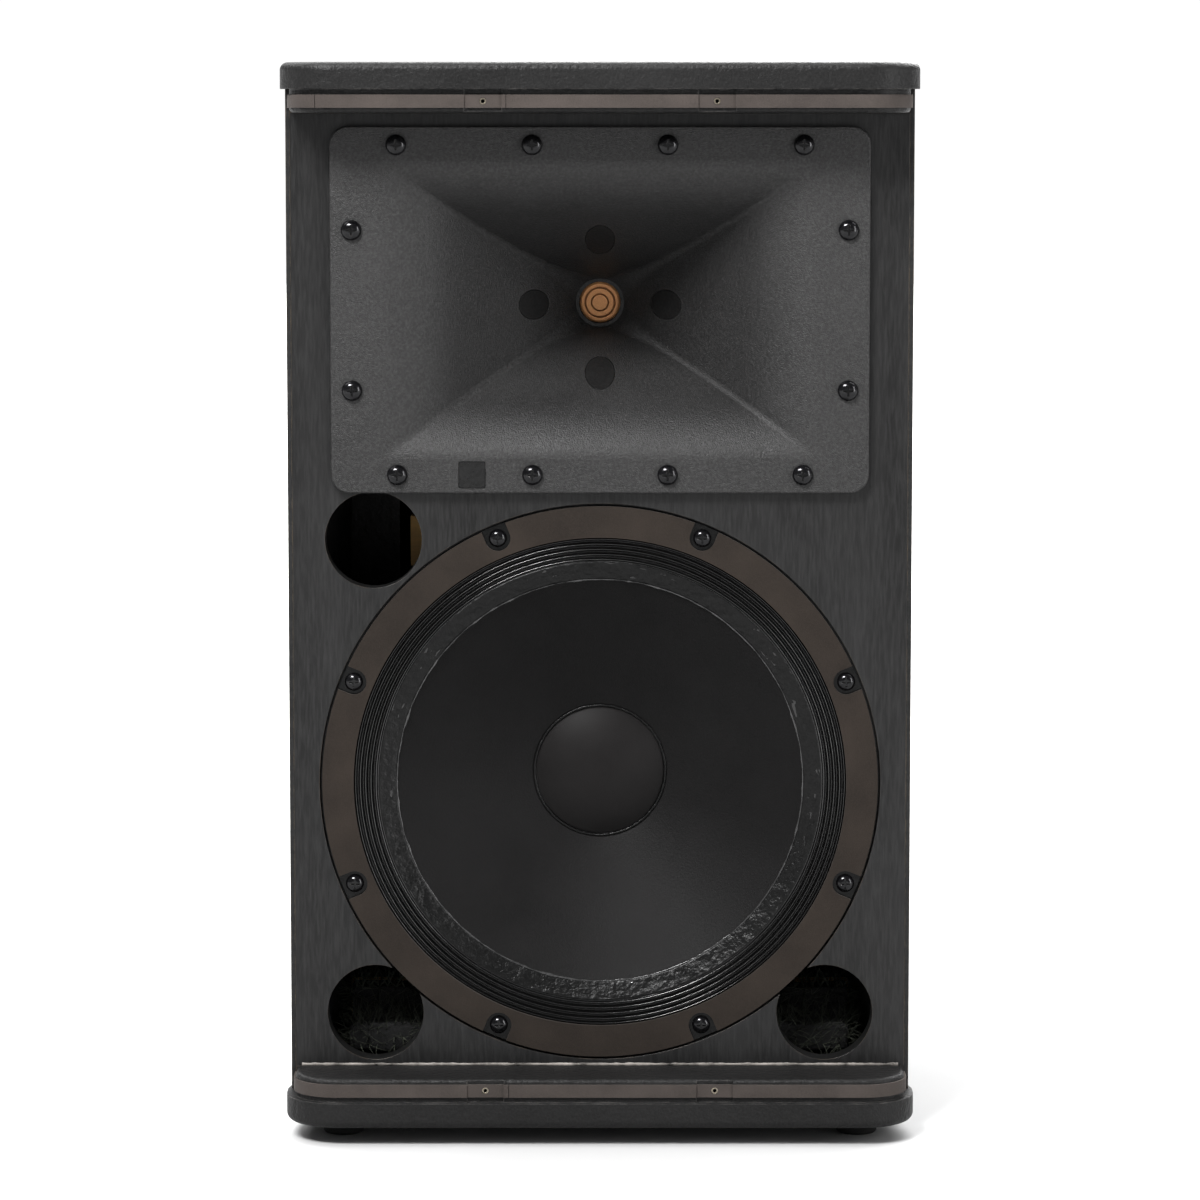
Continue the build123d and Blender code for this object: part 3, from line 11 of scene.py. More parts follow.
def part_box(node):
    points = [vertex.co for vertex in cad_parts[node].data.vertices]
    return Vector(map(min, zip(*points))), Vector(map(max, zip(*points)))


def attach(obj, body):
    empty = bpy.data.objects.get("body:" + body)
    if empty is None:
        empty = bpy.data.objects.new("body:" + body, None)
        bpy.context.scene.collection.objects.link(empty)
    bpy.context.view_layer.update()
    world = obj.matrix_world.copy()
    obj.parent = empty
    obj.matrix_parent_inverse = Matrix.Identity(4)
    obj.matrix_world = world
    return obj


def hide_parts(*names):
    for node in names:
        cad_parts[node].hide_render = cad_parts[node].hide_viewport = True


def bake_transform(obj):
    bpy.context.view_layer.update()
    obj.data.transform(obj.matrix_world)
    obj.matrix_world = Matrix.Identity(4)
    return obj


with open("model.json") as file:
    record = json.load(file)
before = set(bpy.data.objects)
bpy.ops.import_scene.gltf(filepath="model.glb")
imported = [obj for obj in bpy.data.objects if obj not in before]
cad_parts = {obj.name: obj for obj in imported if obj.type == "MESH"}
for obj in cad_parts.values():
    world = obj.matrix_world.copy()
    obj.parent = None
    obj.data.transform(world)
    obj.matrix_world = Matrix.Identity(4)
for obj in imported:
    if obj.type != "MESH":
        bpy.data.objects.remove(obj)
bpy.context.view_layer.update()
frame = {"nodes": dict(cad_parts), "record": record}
nodes = frame["nodes"]
MM = 0.001
JOIN_DISTANCE = 1e-7        # metres: points closer than this are one point
AXIS_R = 1e-6               # mm: a point nearer to the axis than this is on it
FACE_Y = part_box("baffle")[0].y
cone_low, cone_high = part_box("woofer_cone")
WOOFER_Z = (cone_low.z + cone_high.z) / 2


# ================================================================ materials
MIX_A, MIX_B, MIX_RESULT = 6, 7, 2      # the colour sockets of a mix node
TONE_LOW, TONE_HIGH = 0.3, 0.7          # the range that a broad noise mostly covers
GRAIN_LOW, GRAIN_HIGH = 0.4, 0.7        # the part of a fine noise that shows as flecks
FLECK_GAIN, FLECK_LIFT = 2.2, 0.004     # how much lighter than the base a fleck is
SCUFF_SCALE = 90.0
SCUFF_LOW, SCUFF_HIGH = 0.42, 0.62
CLOTH_PATCH = 25.0
EDGE_FLAT, EDGE_SHARP = 0.995, 0.90     # cosine between the rounded and the plain normal
COAT_ROUGHNESS = 0.12
SHEEN_ROUGHNESS = 0.6
PLY_SCALE = 105.0
WINDING_SCALE = 320.0


def new_nodes(name):
    """An empty material with its output and a principled shader."""
    material = bpy.data.materials.new(name)
    material.use_nodes = True
    tree = material.node_tree
    tree.nodes.clear()
    output = tree.nodes.new("ShaderNodeOutputMaterial")
    shader = tree.nodes.new("ShaderNodeBsdfPrincipled")
    tree.links.new(shader.outputs["BSDF"], output.inputs["Surface"])
    return material, tree, shader


def place(tree, stretch):
    """Object coordinates in metres, stretched along each axis."""
    coordinates = tree.nodes.new("ShaderNodeTexCoord")
    mapping = tree.nodes.new("ShaderNodeMapping")
    mapping.inputs["Scale"].default_value = stretch
    tree.links.new(coordinates.outputs["Object"], mapping.inputs["Vector"])
    return mapping.outputs["Vector"]


def noise_at(tree, vector, scale, detail=4.0, rough=0.55):
    """A fractal noise value at each point."""
    texture = tree.nodes.new("ShaderNodeTexNoise")
    texture.inputs["Scale"].default_value = scale
    texture.inputs["Detail"].default_value = detail
    texture.inputs["Roughness"].default_value = rough
    tree.links.new(vector, texture.inputs["Vector"])
    return texture.outputs["Fac"]


def spread(tree, value, low, high, to_low=0.0, to_high=1.0):
    """Map low..high onto to_low..to_high, clamped."""
    node = tree.nodes.new("ShaderNodeMapRange")
    node.inputs["From Min"].default_value = low
    node.inputs["From Max"].default_value = high
    node.inputs["To Min"].default_value = to_low
    node.inputs["To Max"].default_value = to_high
    tree.links.new(value, node.inputs["Value"])
    return node.outputs["Result"]


def mix(tree, factor, first, second):
    """Blend two colours, each a socket or a plain colour."""
    node = tree.nodes.new("ShaderNodeMix")
    node.data_type = "RGBA"
    tree.links.new(factor, node.inputs["Factor"])
    for socket, colour in ((node.inputs[MIX_A], first), (node.inputs[MIX_B], second)):
        if isinstance(colour, tuple):
            socket.default_value = (*colour, 1.0)
        else:
            tree.links.new(colour, socket)
    return node.outputs[MIX_RESULT]


def tinted(colour, share):
    """A colour with each channel multiplied, up to white."""
    return tuple(min(1.0, channel * share) for channel in colour)


def mottled(tree, tone, base, mottle):
    """The base colour, darker and lighter by the mottle as the tone runs."""
    share = spread(tree, tone, TONE_LOW, TONE_HIGH)
    return mix(tree, share, tinted(base, 1 - mottle), tinted(base, 1 + mottle))


def math_node(tree, operation, first, second):
    """One operation on two values, each a socket or a plain number."""
    node = tree.nodes.new("ShaderNodeMath")
    node.operation = operation
    for socket, value in ((node.inputs[0], first), (node.inputs[1], second)):
        if isinstance(value, (int, float)):
            socket.default_value = value
        else:
            tree.links.new(value, socket)
    return node.outputs[0]


def bump(tree, height, strength, distance, normal=None):
    """A normal tilted by a height, on top of another normal where one is given."""
    node = tree.nodes.new("ShaderNodeBump")
    node.inputs["Strength"].default_value = strength
    node.inputs["Distance"].default_value = distance
    tree.links.new(height, node.inputs["Height"])
    if normal is not None:
        tree.links.new(normal, node.inputs["Normal"])
    return node.outputs["Normal"]


def rounded_edges(tree, radius):
    """A normal that rounds sharp edges, and a mask that is 1 on them."""
    bevel = tree.nodes.new("ShaderNodeBevel")
    bevel.samples = 4
    bevel.inputs["Radius"].default_value = radius
    geometry = tree.nodes.new("ShaderNodeNewGeometry")
    facing = tree.nodes.new("ShaderNodeVectorMath")
    facing.operation = "DOT_PRODUCT"
    tree.links.new(bevel.outputs["Normal"], facing.inputs[0])
    tree.links.new(geometry.outputs["Normal"], facing.inputs[1])
    return bevel.outputs["Normal"], spread(tree, facing.outputs["Value"], EDGE_FLAT, EDGE_SHARP)


def surface(
    name, base, rough, metal=0.0, grain=700.0, depth=0.10, relief=0.0003, mottle=0.20, patch=14.0,
    wear=None, wear_amount=0.5, edge=0.0009, stretch=(1, 1, 1), coat=0.0, specular=0.2, second_grain=None,
    flecks=0.35,
):
    """A finish with grain, mottling, varied roughness and worn edges."""
    material, tree, shader = new_nodes(name)
    space = place(tree, stretch)
    fine = noise_at(tree, space, grain, 3.0, 0.6)
    broad = noise_at(tree, space, patch, 5.0, 0.6)
    edge_normal, edge_mask = rounded_edges(tree, edge)
    colour = mottled(tree, broad, base, mottle)
    speckle = spread(tree, fine, GRAIN_LOW, GRAIN_HIGH, 0.0, flecks)
    colour = mix(tree, speckle, colour, tuple(min(1.0, c * FLECK_GAIN + FLECK_LIFT) for c in base))
    if wear is not None:
        scuff = noise_at(tree, space, SCUFF_SCALE, 6.0, 0.7)
        scuffed = spread(tree, scuff, SCUFF_LOW, SCUFF_HIGH, 0.0, wear_amount)
        worn = math_node(tree, "MULTIPLY", edge_mask, scuffed)
        colour = mix(tree, worn, colour, wear)
    tree.links.new(colour, shader.inputs["Base Color"])
    rough_spread = spread(tree, broad, TONE_LOW, TONE_HIGH, rough * 0.86, min(1.0, rough * 1.14))
    tree.links.new(rough_spread, shader.inputs["Roughness"])
    height = fine
    if second_grain is not None:
        coarse = noise_at(tree, space, second_grain, 2.0, 0.5)
        height = math_node(tree, "ADD", math_node(tree, "MULTIPLY", fine, 0.5), coarse)
    tree.links.new(bump(tree, height, depth, relief, edge_normal), shader.inputs["Normal"])
    shader.inputs["Metallic"].default_value = metal
    shader.inputs["Coat Weight"].default_value = coat
    shader.inputs["Coat Roughness"].default_value = COAT_ROUGHNESS
    shader.inputs["Specular IOR Level"].default_value = specular
    return material


def cloth(
    name, base, rough=0.9, weave=900.0, depth=0.5, relief=0.0004, sheen=0.0, mottle=0.25, specular=0.12,
):
    """Felted or woven cloth with fibre relief."""
    material, tree, shader = new_nodes(name)
    space = place(tree, (1, 1, 1))
    fibres = noise_at(tree, space, weave, 6.0, 0.75)
    broad = noise_at(tree, space, CLOTH_PATCH)
    colour = mottled(tree, broad, base, mottle)
    colour = mix(tree, spread(tree, fibres, GRAIN_LOW, GRAIN_HIGH, 0.0, 0.4), colour, tinted(base, 1.6))
    tree.links.new(colour, shader.inputs["Base Color"])
    rough_spread = spread(tree, broad, TONE_LOW, TONE_HIGH, rough * 0.92, min(1.0, rough * 1.05))
    tree.links.new(rough_spread, shader.inputs["Roughness"])
    tree.links.new(bump(tree, fibres, depth, relief), shader.inputs["Normal"])
    shader.inputs["Sheen Weight"].default_value = sheen
    shader.inputs["Specular IOR Level"].default_value = specular
    shader.inputs["Sheen Roughness"].default_value = SHEEN_ROUGHNESS
    return material


def plywood(name, face):
    """Bare birch plywood: long grain on the face, thin plies across the edge."""
    material, tree, shader = new_nodes(name)
    grain_space = place(tree, (6, 60, 60))
    grain = noise_at(tree, grain_space, 3.0, 8.0, 0.65)
    plies = tree.nodes.new("ShaderNodeTexWave")
    plies.wave_type = "BANDS"
    plies.bands_direction = "Y"
    plies.inputs["Scale"].default_value = PLY_SCALE
    plies.inputs["Distortion"].default_value = 0.4
    tree.links.new(place(tree, (1, 1, 1)), plies.inputs["Vector"])
    colour = mix(tree, spread(tree, grain, TONE_LOW, TONE_HIGH), tinted(face, 0.72), face)
    ply_lines = spread(tree, plies.outputs["Fac"], 0.0, 1.0, 0.0, 0.12)
    colour = mix(tree, ply_lines, colour, tinted(face, 0.4))
    tree.links.new(colour, shader.inputs["Base Color"])
    tree.links.new(spread(tree, grain, TONE_LOW, TONE_HIGH, 0.6, 0.8), shader.inputs["Roughness"])
    edge_normal, _ = rounded_edges(tree, 0.0006)
    tree.links.new(bump(tree, grain, 0.25, 0.0004, edge_normal), shader.inputs["Normal"])
    return material


def winding(name, base):
    """Lacquered wire laid in close turns."""
    material, tree, shader = new_nodes(name)
    turns = tree.nodes.new("ShaderNodeTexWave")
    turns.wave_type = "BANDS"
    turns.bands_direction = "Z"
    turns.inputs["Scale"].default_value = WINDING_SCALE
    turns.inputs["Distortion"].default_value = 0.6
    space = place(tree, (1, 1, 1))
    tree.links.new(space, turns.inputs["Vector"])
    tone = noise_at(tree, space, 60.0)
    colour = mix(tree, spread(tree, tone, TONE_LOW, TONE_HIGH), tinted(base, 0.6), base)
    tree.links.new(colour, shader.inputs["Base Color"])
    tree.links.new(spread(tree, tone, TONE_LOW, TONE_HIGH, 0.25, 0.4), shader.inputs["Roughness"])
    tree.links.new(bump(tree, turns.outputs["Fac"], 0.7, 0.0005), shader.inputs["Normal"])
    shader.inputs["Metallic"].default_value = 0.85
    return material


WORN_GREY = (0.20, 0.19, 0.18)
WORN_PLY = (0.16, 0.12, 0.08)
MATERIALS = {
    "cabinet_paint": surface(
        "cabinet_paint", (0.017, 0.017, 0.017), 0.50, grain=420, depth=0.55, relief=0.0009, wear=WORN_PLY,
        second_grain=170, edge=0.0014,
    ),
    "baffle_paint": surface(
        "baffle_paint", (0.0115, 0.0114, 0.0115), 0.36, grain=520, depth=0.35, relief=0.0004, wear=WORN_PLY,
        stretch=(1, 1, 0.12), patch=26, mottle=0.45, wear_amount=0.35, specular=0.34, flecks=0.6,
    ),
    "cap_plastic": surface(
        "cap_plastic", (0.0140, 0.0138, 0.0138), 0.46, grain=600, depth=1.0, relief=0.0008, wear=WORN_GREY,
        second_grain=230, wear_amount=0.45, edge=0.0012,
    ),
    "horn_plastic": surface(
        "horn_plastic", (0.0165, 0.0162, 0.0162), 0.47, grain=520, depth=1.0, relief=0.0006, wear=WORN_GREY,
        wear_amount=0.20, mottle=0.15, specular=0.42, second_grain=1100, flecks=0.8, edge=0.0004,
    ),
    "plug_plastic": surface(
        "plug_plastic", (0.0120, 0.0118, 0.0118), 0.40, grain=520, depth=0.6, relief=0.0004, edge=0.0004,
        flecks=0.5,
    ),
    "rubber_black": surface(
        "rubber_black", (0.012, 0.012, 0.012), 0.75, grain=900, depth=0.35, relief=0.0004,
    ),
    "black_screw": surface(
        "black_screw", (0.006, 0.006, 0.007), 0.22, metal=0.5, grain=900, depth=0.10, wear=WORN_GREY,
        edge=0.0004, coat=0.5,
    ),
    "zinc_steel": surface(
        "zinc_steel", (0.52, 0.52, 0.50), 0.34, metal=1.0, grain=800, depth=0.12, mottle=0.10, edge=0.0005,
    ),
    "insert_brass": surface("insert_brass", (0.30, 0.27, 0.22), 0.32, metal=1.0, grain=900, edge=0.0003),
    "alloy": surface(
        "alloy", (0.020, 0.020, 0.021), 0.42, metal=0.3, grain=500, depth=0.4, relief=0.0005,
        wear=(0.3, 0.3, 0.3),
    ),
    "basket_black": surface(
        "basket_black", (0.003, 0.003, 0.003), 0.26, grain=300, depth=0.2, relief=0.0004, coat=0.1,
        wear=(0.20, 0.20, 0.20), wear_amount=0.3, edge=0.0005,
    ),
    "magnet_ferrite": surface(
        "magnet_ferrite", (0.035, 0.033, 0.035), 0.60, grain=500, depth=0.3, edge=0.0008,
    ),
    "phase_tan": surface(
        "phase_tan", (0.56, 0.28, 0.13), 0.55, grain=1600, depth=0.15, relief=0.0002, mottle=0.08,
        wear=(0.60, 0.40, 0.25), edge=0.0004,
    ),
    "titanium": surface("titanium", (0.50, 0.50, 0.52), 0.28, metal=1.0, grain=900, depth=0.10),
    "former_film": surface("former_film", (0.42, 0.22, 0.07), 0.25, grain=500, coat=0.3),
    "board_green": surface("board_green", (0.04, 0.17, 0.07), 0.40, grain=600, coat=0.3, depth=0.2),
    "component_blue": surface("component_blue", (0.05, 0.09, 0.27), 0.30, grain=500, coat=0.2),
    "component_white": surface("component_white", (0.64, 0.62, 0.57), 0.70, grain=400, depth=0.4),
    "lead_black": surface("lead_black", (0.015, 0.015, 0.016), 0.45, grain=700, depth=0.2),
    "badge_plastic": surface(
        "badge_plastic", (0.010, 0.010, 0.010), 0.20, grain=300, depth=0.05, coat=0.4, edge=0.0004,
    ),
    "raw_ply": plywood("raw_ply", (0.78, 0.50, 0.20)),
    "coil_copper": winding("coil_copper", (0.60, 0.26, 0.12)),
    "grille_tape": cloth("grille_tape", (0.056, 0.048, 0.044), weave=1500, depth=0.45, sheen=0.05),
    "gasket_foam": cloth("gasket_foam", (0.0262, 0.0212, 0.0178), weave=1100, depth=0.5, sheen=0.05),
    "black_foam": cloth("black_foam", (0.010, 0.010, 0.010), weave=900),
    "cone_paper": cloth(
        "cone_paper", (0.0060, 0.0057, 0.0058), rough=0.52, weave=600, depth=0.5, relief=0.0006, sheen=0.04,
    ),
    "dust_paper": cloth(
        "dust_paper", (0.0100, 0.0092, 0.0092), rough=0.52, weave=1000, depth=0.35, sheen=0.04,
    ),
    "spider_cloth": cloth("spider_cloth", (0.42, 0.27, 0.10), rough=0.7, weave=1300, depth=0.6),
    "wadding": cloth(
        "wadding", (0.007, 0.007, 0.007), rough=0.95, weave=160, depth=0.9, relief=0.004, sheen=0.15,
    ),
    "wadding_fibre": cloth("wadding_fibre", (0.062, 0.068, 0.052), rough=0.8, weave=400, specular=0.3),
    "surround_cloth": surface(
        "surround_cloth", (0.003, 0.003, 0.003), 0.17, grain=1500, depth=0.20, relief=0.0003, coat=0.6,
        specular=0.5, edge=0.0003,
    ),
    "doped_band": surface(
        "doped_band", (0.0035, 0.0035, 0.0035), 0.34, grain=300, depth=1.0, relief=0.0015, coat=0.06,
        edge=0.0003, second_grain=120, specular=0.25,
    ),
    "glue": surface(
        "glue", (0.035, 0.035, 0.035), 0.20, grain=300, depth=0.6, relief=0.0006, mottle=0.6, patch=60,
        coat=0.6, edge=0.0003,
    ),
    "edge_glue": surface(
        "edge_glue", (0.15, 0.14, 0.13), 0.45, grain=250, depth=0.6, relief=0.0006, mottle=0.95, patch=70,
        edge=0.0003,
    ),
}
# Nodes that don't look like the rest of their slot: panels painted inside, and smoother plugs.
OTHER_LOOKS = {"top_panel": "cabinet_paint", "bottom_panel": "cabinet_paint", "horn_plugs": "plug_plastic"}
for entry in frame["record"]["subparts"]:
    look = OTHER_LOOKS.get(entry["node"], entry["material_slot"])
    for material_slot in nodes[entry["node"]].material_slots:
        material_slot.material = MATERIALS[look]


# ================================================================ building
PAD_VOXEL = 0.006
PAD_LUMP = 0.006            # metres: how far the deepest dents of a pad go in
LUMP_SCALE, TUFT_SCALE = 28.0, 75.0


def piece(name, vertices, faces, material):
    """A new smooth mesh object with one material."""
    mesh = bpy.data.meshes.new(name)
    mesh.from_pydata([tuple(vertex) for vertex in vertices], [], faces)
    mesh.validate()
    mesh.update()
    mesh.polygons.foreach_set("use_smooth", [True] * len(mesh.polygons))
    mesh.materials.append(MATERIALS[material])
    made = bpy.data.objects.new(name, mesh)
    bpy.context.scene.collection.objects.link(made)
    return made


def ring_faces(rings, around, closed):
    """Quads between neighbouring rings of points, and from the last ring to the first if closed."""
    faces = []
    for ring in range(rings if closed else rings - 1):
        start, following = ring * around, (ring + 1) % rings * around
        for index in range(around):
            after = (index + 1) % around
            faces.append((start + index, start + after, following + after, following + index))
    return faces


def spun(name, profile, material, segments=288, wobble=None):
    """Turn a closed outline of (radius, depth behind the baffle's face) in mm about the woofer's axis."""
    vertices = []
    count = len(profile)
    for step in range(segments):
        angle = 2 * math.pi * step / segments
        for radius, depth in profile:
            if wobble is not None:
                radius, depth = wobble(angle, radius, depth)
            x, z = radius * MM * math.cos(angle), radius * MM * math.sin(angle)
            vertices.append((x, FACE_Y + depth * MM, WOOFER_Z + z))
    on_axis = [radius < AXIS_R for radius, _ in profile]
    faces = [
        face for face in ring_faces(segments, count, True)
        if not (on_axis[face[0] % count] and on_axis[face[1] % count])
    ]
    made = piece(name, vertices, faces, material)
    clean_axis(made)
    return made


def clean_axis(made):
    """Join the points that meet on the axis and turn every face outward."""
    work = bmesh.new()
    work.from_mesh(made.data)
    bmesh.ops.remove_doubles(work, verts=work.verts, dist=JOIN_DISTANCE)
    bmesh.ops.recalc_face_normals(work, faces=work.faces)
    work.to_mesh(made.data)
    work.free()


def soft_copy(name, node, material):
    """A lumpy fibre pad that fills the box of a plain CAD solid."""
    source = nodes[node]
    shape = bpy.data.objects.new(name + "_form", source.data.copy())
    bpy.context.scene.collection.objects.link(shape)
    remesh = shape.modifiers.new("remesh", "REMESH")
    remesh.mode = "VOXEL"
    remesh.voxel_size = PAD_VOXEL
    bpy.context.view_layer.update()
    mesh = bpy.data.meshes.new_from_object(shape.evaluated_get(bpy.context.evaluated_depsgraph_get()))
    bpy.data.objects.remove(shape)
    normals = [Vector(vertex.normal) for vertex in mesh.vertices]
    for vertex, normal in zip(mesh.vertices, normals):
        lump = noise.noise(vertex.co * LUMP_SCALE) * 0.6 + noise.noise(vertex.co * TUFT_SCALE) * 0.4
        vertex.co = vertex.co - normal * PAD_LUMP * (0.55 - 0.45 * lump)
    mesh.polygons.foreach_set("use_smooth", [True] * len(mesh.polygons))
    mesh.materials.clear()
    mesh.materials.append(MATERIALS[material])
    made = bpy.data.objects.new(name, mesh)
    bpy.context.scene.collection.objects.link(made)
    return made


# ---------------------------------------------------------------- woofer
# Points of the woofer are (radius, depth behind the baffle's face) in mm.
CONE_RIM = (152.8, 5.2)
BAND_IN = (140.4, 10.0)
CAP_SEAT = (45.5, 64.0)
NECK = (38.5, 69.0)
CONE_T = 0.9
CONE_BOW = 0.06             # curve of the cone's side, as a share of its depth

surround_low, surround_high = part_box("woofer_surround")
SEAT_D = (surround_low.y - FACE_Y) / MM + 1.2
SURROUND_R = surround_high.x / MM
ROLLS_OUT, ROLLS_IN = 170.0, 153.5
ROLLS = 4.5
ROLL_HEIGHT = 1.55
SURROUND_T = 0.5
LAP_END = BAND_IN[0] + 1.5

DOPE_OUT, DOPE_IN = 153.0, 140.6
DOPE_LIFT = 0.95
DOPE_T = 0.3
DOPE_COARSE, DOPE_FINE = 0.16, 0.10
LAP_RIPPLE = 0.28
PULP_SWELL = 0.16

cap_low, cap_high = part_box("dust_cap")
CAP_CROWN_D = (cap_low.y - FACE_Y) / MM
CAP_RIM_D = (cap_high.y - FACE_Y) / MM
CAP_R = cap_high.x / MM
CAP_T = 0.5

spider_low, spider_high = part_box("woofer_spider")
SPIDER_D = ((spider_low.y + spider_high.y) / 2 - FACE_Y) / MM
SPIDER_R = spider_high.x / MM
SPIDER_IN = 39.2
SPIDER_ROLLS = 7
SPIDER_HEIGHT = 1.6
SPIDER_T = 0.4
ROLL_FADE = 8               # the first and last eighth of the rolls run out to nothing


def along(first, last, count):
    """Evenly spaced values after the first, up to and with the last."""
    return [first + (last - first) * step / count for step in range(1, count + 1)]


def both_sides(line, thickness):
    """A thin closed outline round a line of points."""
    front = [(radius, depth - thickness / 2) for radius, depth in line]
    back = [(radius, depth + thickness / 2) for radius, depth in reversed(line)]
    return front + back


def roll(part, rolls, height):
    """Height of a rolled sheet at a share of its width, flat at both ends."""
    fade = min(1.0, part * ROLL_FADE, (1 - part) * ROLL_FADE)
    return height * math.sin(2 * math.pi * rolls * part) * fade


def band_depth(radius):
    """Depth of the straight band between the cone's rim and its body."""
    slope = (BAND_IN[1] - CONE_RIM[1]) / (CONE_RIM[0] - BAND_IN[0])
    return CONE_RIM[1] + (CONE_RIM[0] - radius) * slope


def cone_depth(radius):
    """Depth of the cone's front at a radius, slightly curved like pressed paper."""
    share = (BAND_IN[0] - radius) / (BAND_IN[0] - CAP_SEAT[0])
    return BAND_IN[1] + (CAP_SEAT[1] - BAND_IN[1]) * (share + CONE_BOW * math.sin(math.pi * share))


def ring_noise(angle, scale, height):
    """Noise that runs round a ring and meets itself."""
    return noise.noise(Vector((math.cos(angle) * scale, math.sin(angle) * scale, height)))


def surround_outline():
    """Flat outer seat, rolls and an inner lap."""
    line = [(SURROUND_R, SEAT_D)]
    line += [(radius, SEAT_D) for radius in along(SURROUND_R, ROLLS_OUT, 6)]
    for part in along(0, 1, 72):
        radius = ROLLS_OUT + (ROLLS_IN - ROLLS_OUT) * part
        drop = SEAT_D + (CONE_RIM[1] - SEAT_D) * part ** 1.6
        line.append((radius, drop - roll(part, ROLLS, ROLL_HEIGHT)))
    line += [(radius, band_depth(radius) - SURROUND_T) for radius in along(ROLLS_IN, LAP_END, 8)]
    return both_sides(line, SURROUND_T)


def lap_wobble(angle, radius, depth):
    """Uneven dope on the surround's lap."""
    if radius > ROLLS_IN - 0.1:
        return radius, depth
    return radius, depth - LAP_RIPPLE * abs(ring_noise(angle, 9, radius * 0.45))


def cone_outline():
    """Rim, straight band, curved body and neck, with the paper's thickness behind."""
    front = [CONE_RIM]
    front += [(radius, band_depth(radius)) for radius in along(CONE_RIM[0], BAND_IN[0], 6)]
    front += [(radius, cone_depth(radius)) for radius in along(BAND_IN[0], CAP_SEAT[0], 40)]
    front.append(NECK)
    return front + [(radius, depth + CONE_T) for radius, depth in reversed(front)]


def cone_wobble(angle, radius, depth):
    """Slight unevenness of pressed pulp, away from the glued edges."""
    if radius > BAND_IN[0] - 1.4 or radius < CAP_SEAT[0] + 1.5:
        return radius, depth
    return radius, depth + PULP_SWELL * ring_noise(angle, 2.2, radius * 0.03)


def dope_outline():
    """Rough, shiny dope between the rolls and the paper."""
    radii = [DOPE_OUT] + along(DOPE_OUT, DOPE_IN, 12)
    front = [(radius, band_depth(radius) - DOPE_LIFT) for radius in radii]
    return front + [(radius, depth + DOPE_T) for radius, depth in reversed(front)]


def dope_wobble(angle, radius, depth):
    """Brush marks in the dope."""
    coarse = ring_noise(angle, 22, radius * 0.35)
    fine = ring_noise(angle, 70, radius * 1.1)
    return radius, depth - DOPE_COARSE * coarse - DOPE_FINE * fine


def dome_outline():
    """Shallow dome that is steeper at its edge."""
    front = []
    for share in [0.0] + along(0, 1, 24):
        drop = share ** 2 * 0.92 + share ** 6 * 0.08
        front.append((CAP_R * share, CAP_CROWN_D + (CAP_RIM_D - CAP_CROWN_D) * drop))
    return front + [(radius * 0.985, depth + CAP_T) for radius, depth in reversed(front)]


def spider_outline():
    """A rolled cloth disc."""
    line = []
    for part in [0.0] + along(0, 1, 120):
        radius = SPIDER_R + (SPIDER_IN - SPIDER_R) * part
        line.append((radius, SPIDER_D + roll(part, SPIDER_ROLLS, SPIDER_HEIGHT)))
    return both_sides(line, SPIDER_T)


def radial_blend(made):
    """Move the piece's placement into its mesh."""
    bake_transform(made)


def bead(name, ring_r, ring_d, wire, unevenness, material, seed, segments=720, sides=8):
    """An uneven bead of glue round the cone."""
    vertices = []
    for step in range(segments):
        angle = 2 * math.pi * step / segments
        spot = Vector((math.cos(angle) * 14 + seed, math.sin(angle) * 14, seed))
        fine = Vector((math.cos(angle) * 45 + seed, math.sin(angle) * 45, seed))
        size = wire * (1 + unevenness * (0.6 * noise.noise(spot) + 0.5 * noise.noise(fine)))
        shift = wire * unevenness * 0.7 * noise.noise(spot + Vector((7.0, 0, 0)))
        for side in range(sides):
            turn = 2 * math.pi * side / sides
            radius = ring_r + shift + size * math.cos(turn)
            depth = ring_d + 0.55 * size * math.sin(turn)
            x, z = radius * MM * math.cos(angle), radius * MM * math.sin(angle)
            vertices.append((x, FACE_Y + depth * MM, WOOFER_Z + z))
    made = piece(name, vertices, ring_faces(segments, sides, True), material)
    clean_axis(made)
    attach(made, "woofer_moving")


surround = spun("surround_rolls", surround_outline(), "surround_cloth", 360, lap_wobble)
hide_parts("woofer_surround")
radial_blend(surround)

cone = spun("paper_cone", cone_outline(), "cone_paper", 288, cone_wobble)
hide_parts("woofer_cone")
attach(cone, "woofer_moving")

bead("cone_glue_bead", DOPE_IN, BAND_IN[1] - 0.5, wire=0.85, unevenness=0.9, material="glue", seed=3.0)
bead(
    "dust_cap_glue", CAP_SEAT[0] + 0.4, CAP_SEAT[1] - 1.3, wire=0.75, unevenness=0.5,
    material="doped_band", seed=9.0,
)

band = spun("doped_band", dope_outline(), "doped_band", 720, dope_wobble)
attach(band, "woofer_moving")

dust = spun("dust_dome", dome_outline(), "dust_paper", 192)
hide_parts("dust_cap")
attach(dust, "woofer_moving")

spider = spun("spider_rolls", spider_outline(), "spider_cloth", 144)
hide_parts("woofer_spider")
radial_blend(spider)

# ---------------------------------------------------------------- wadding
FIBRES = 2600
FIBRE_R = 0.00026
FIBRE_JOINTS = 4
FIBRE_STEP = (0.0022, 0.0052)
FIBRE_LEAN = 0.9
FIBRE_BEND = 0.6
SHOWN_FROM_X = 0.07         # metres from the middle, and in front of SHOWN_TO_Y:
SHOWN_TO_Y = -0.02          # the part of the pad that shows through the ports

for node_name in ("floor_wadding", "back_wadding"):
    pad = soft_copy(node_name + "_fibre", node_name, "wadding")
    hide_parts(node_name)
    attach(pad, "root")


def random_vector(draw, reach):
    """A vector with each part drawn between minus and plus the reach."""
    return Vector([draw.uniform(-reach, reach) for _ in range(3)])


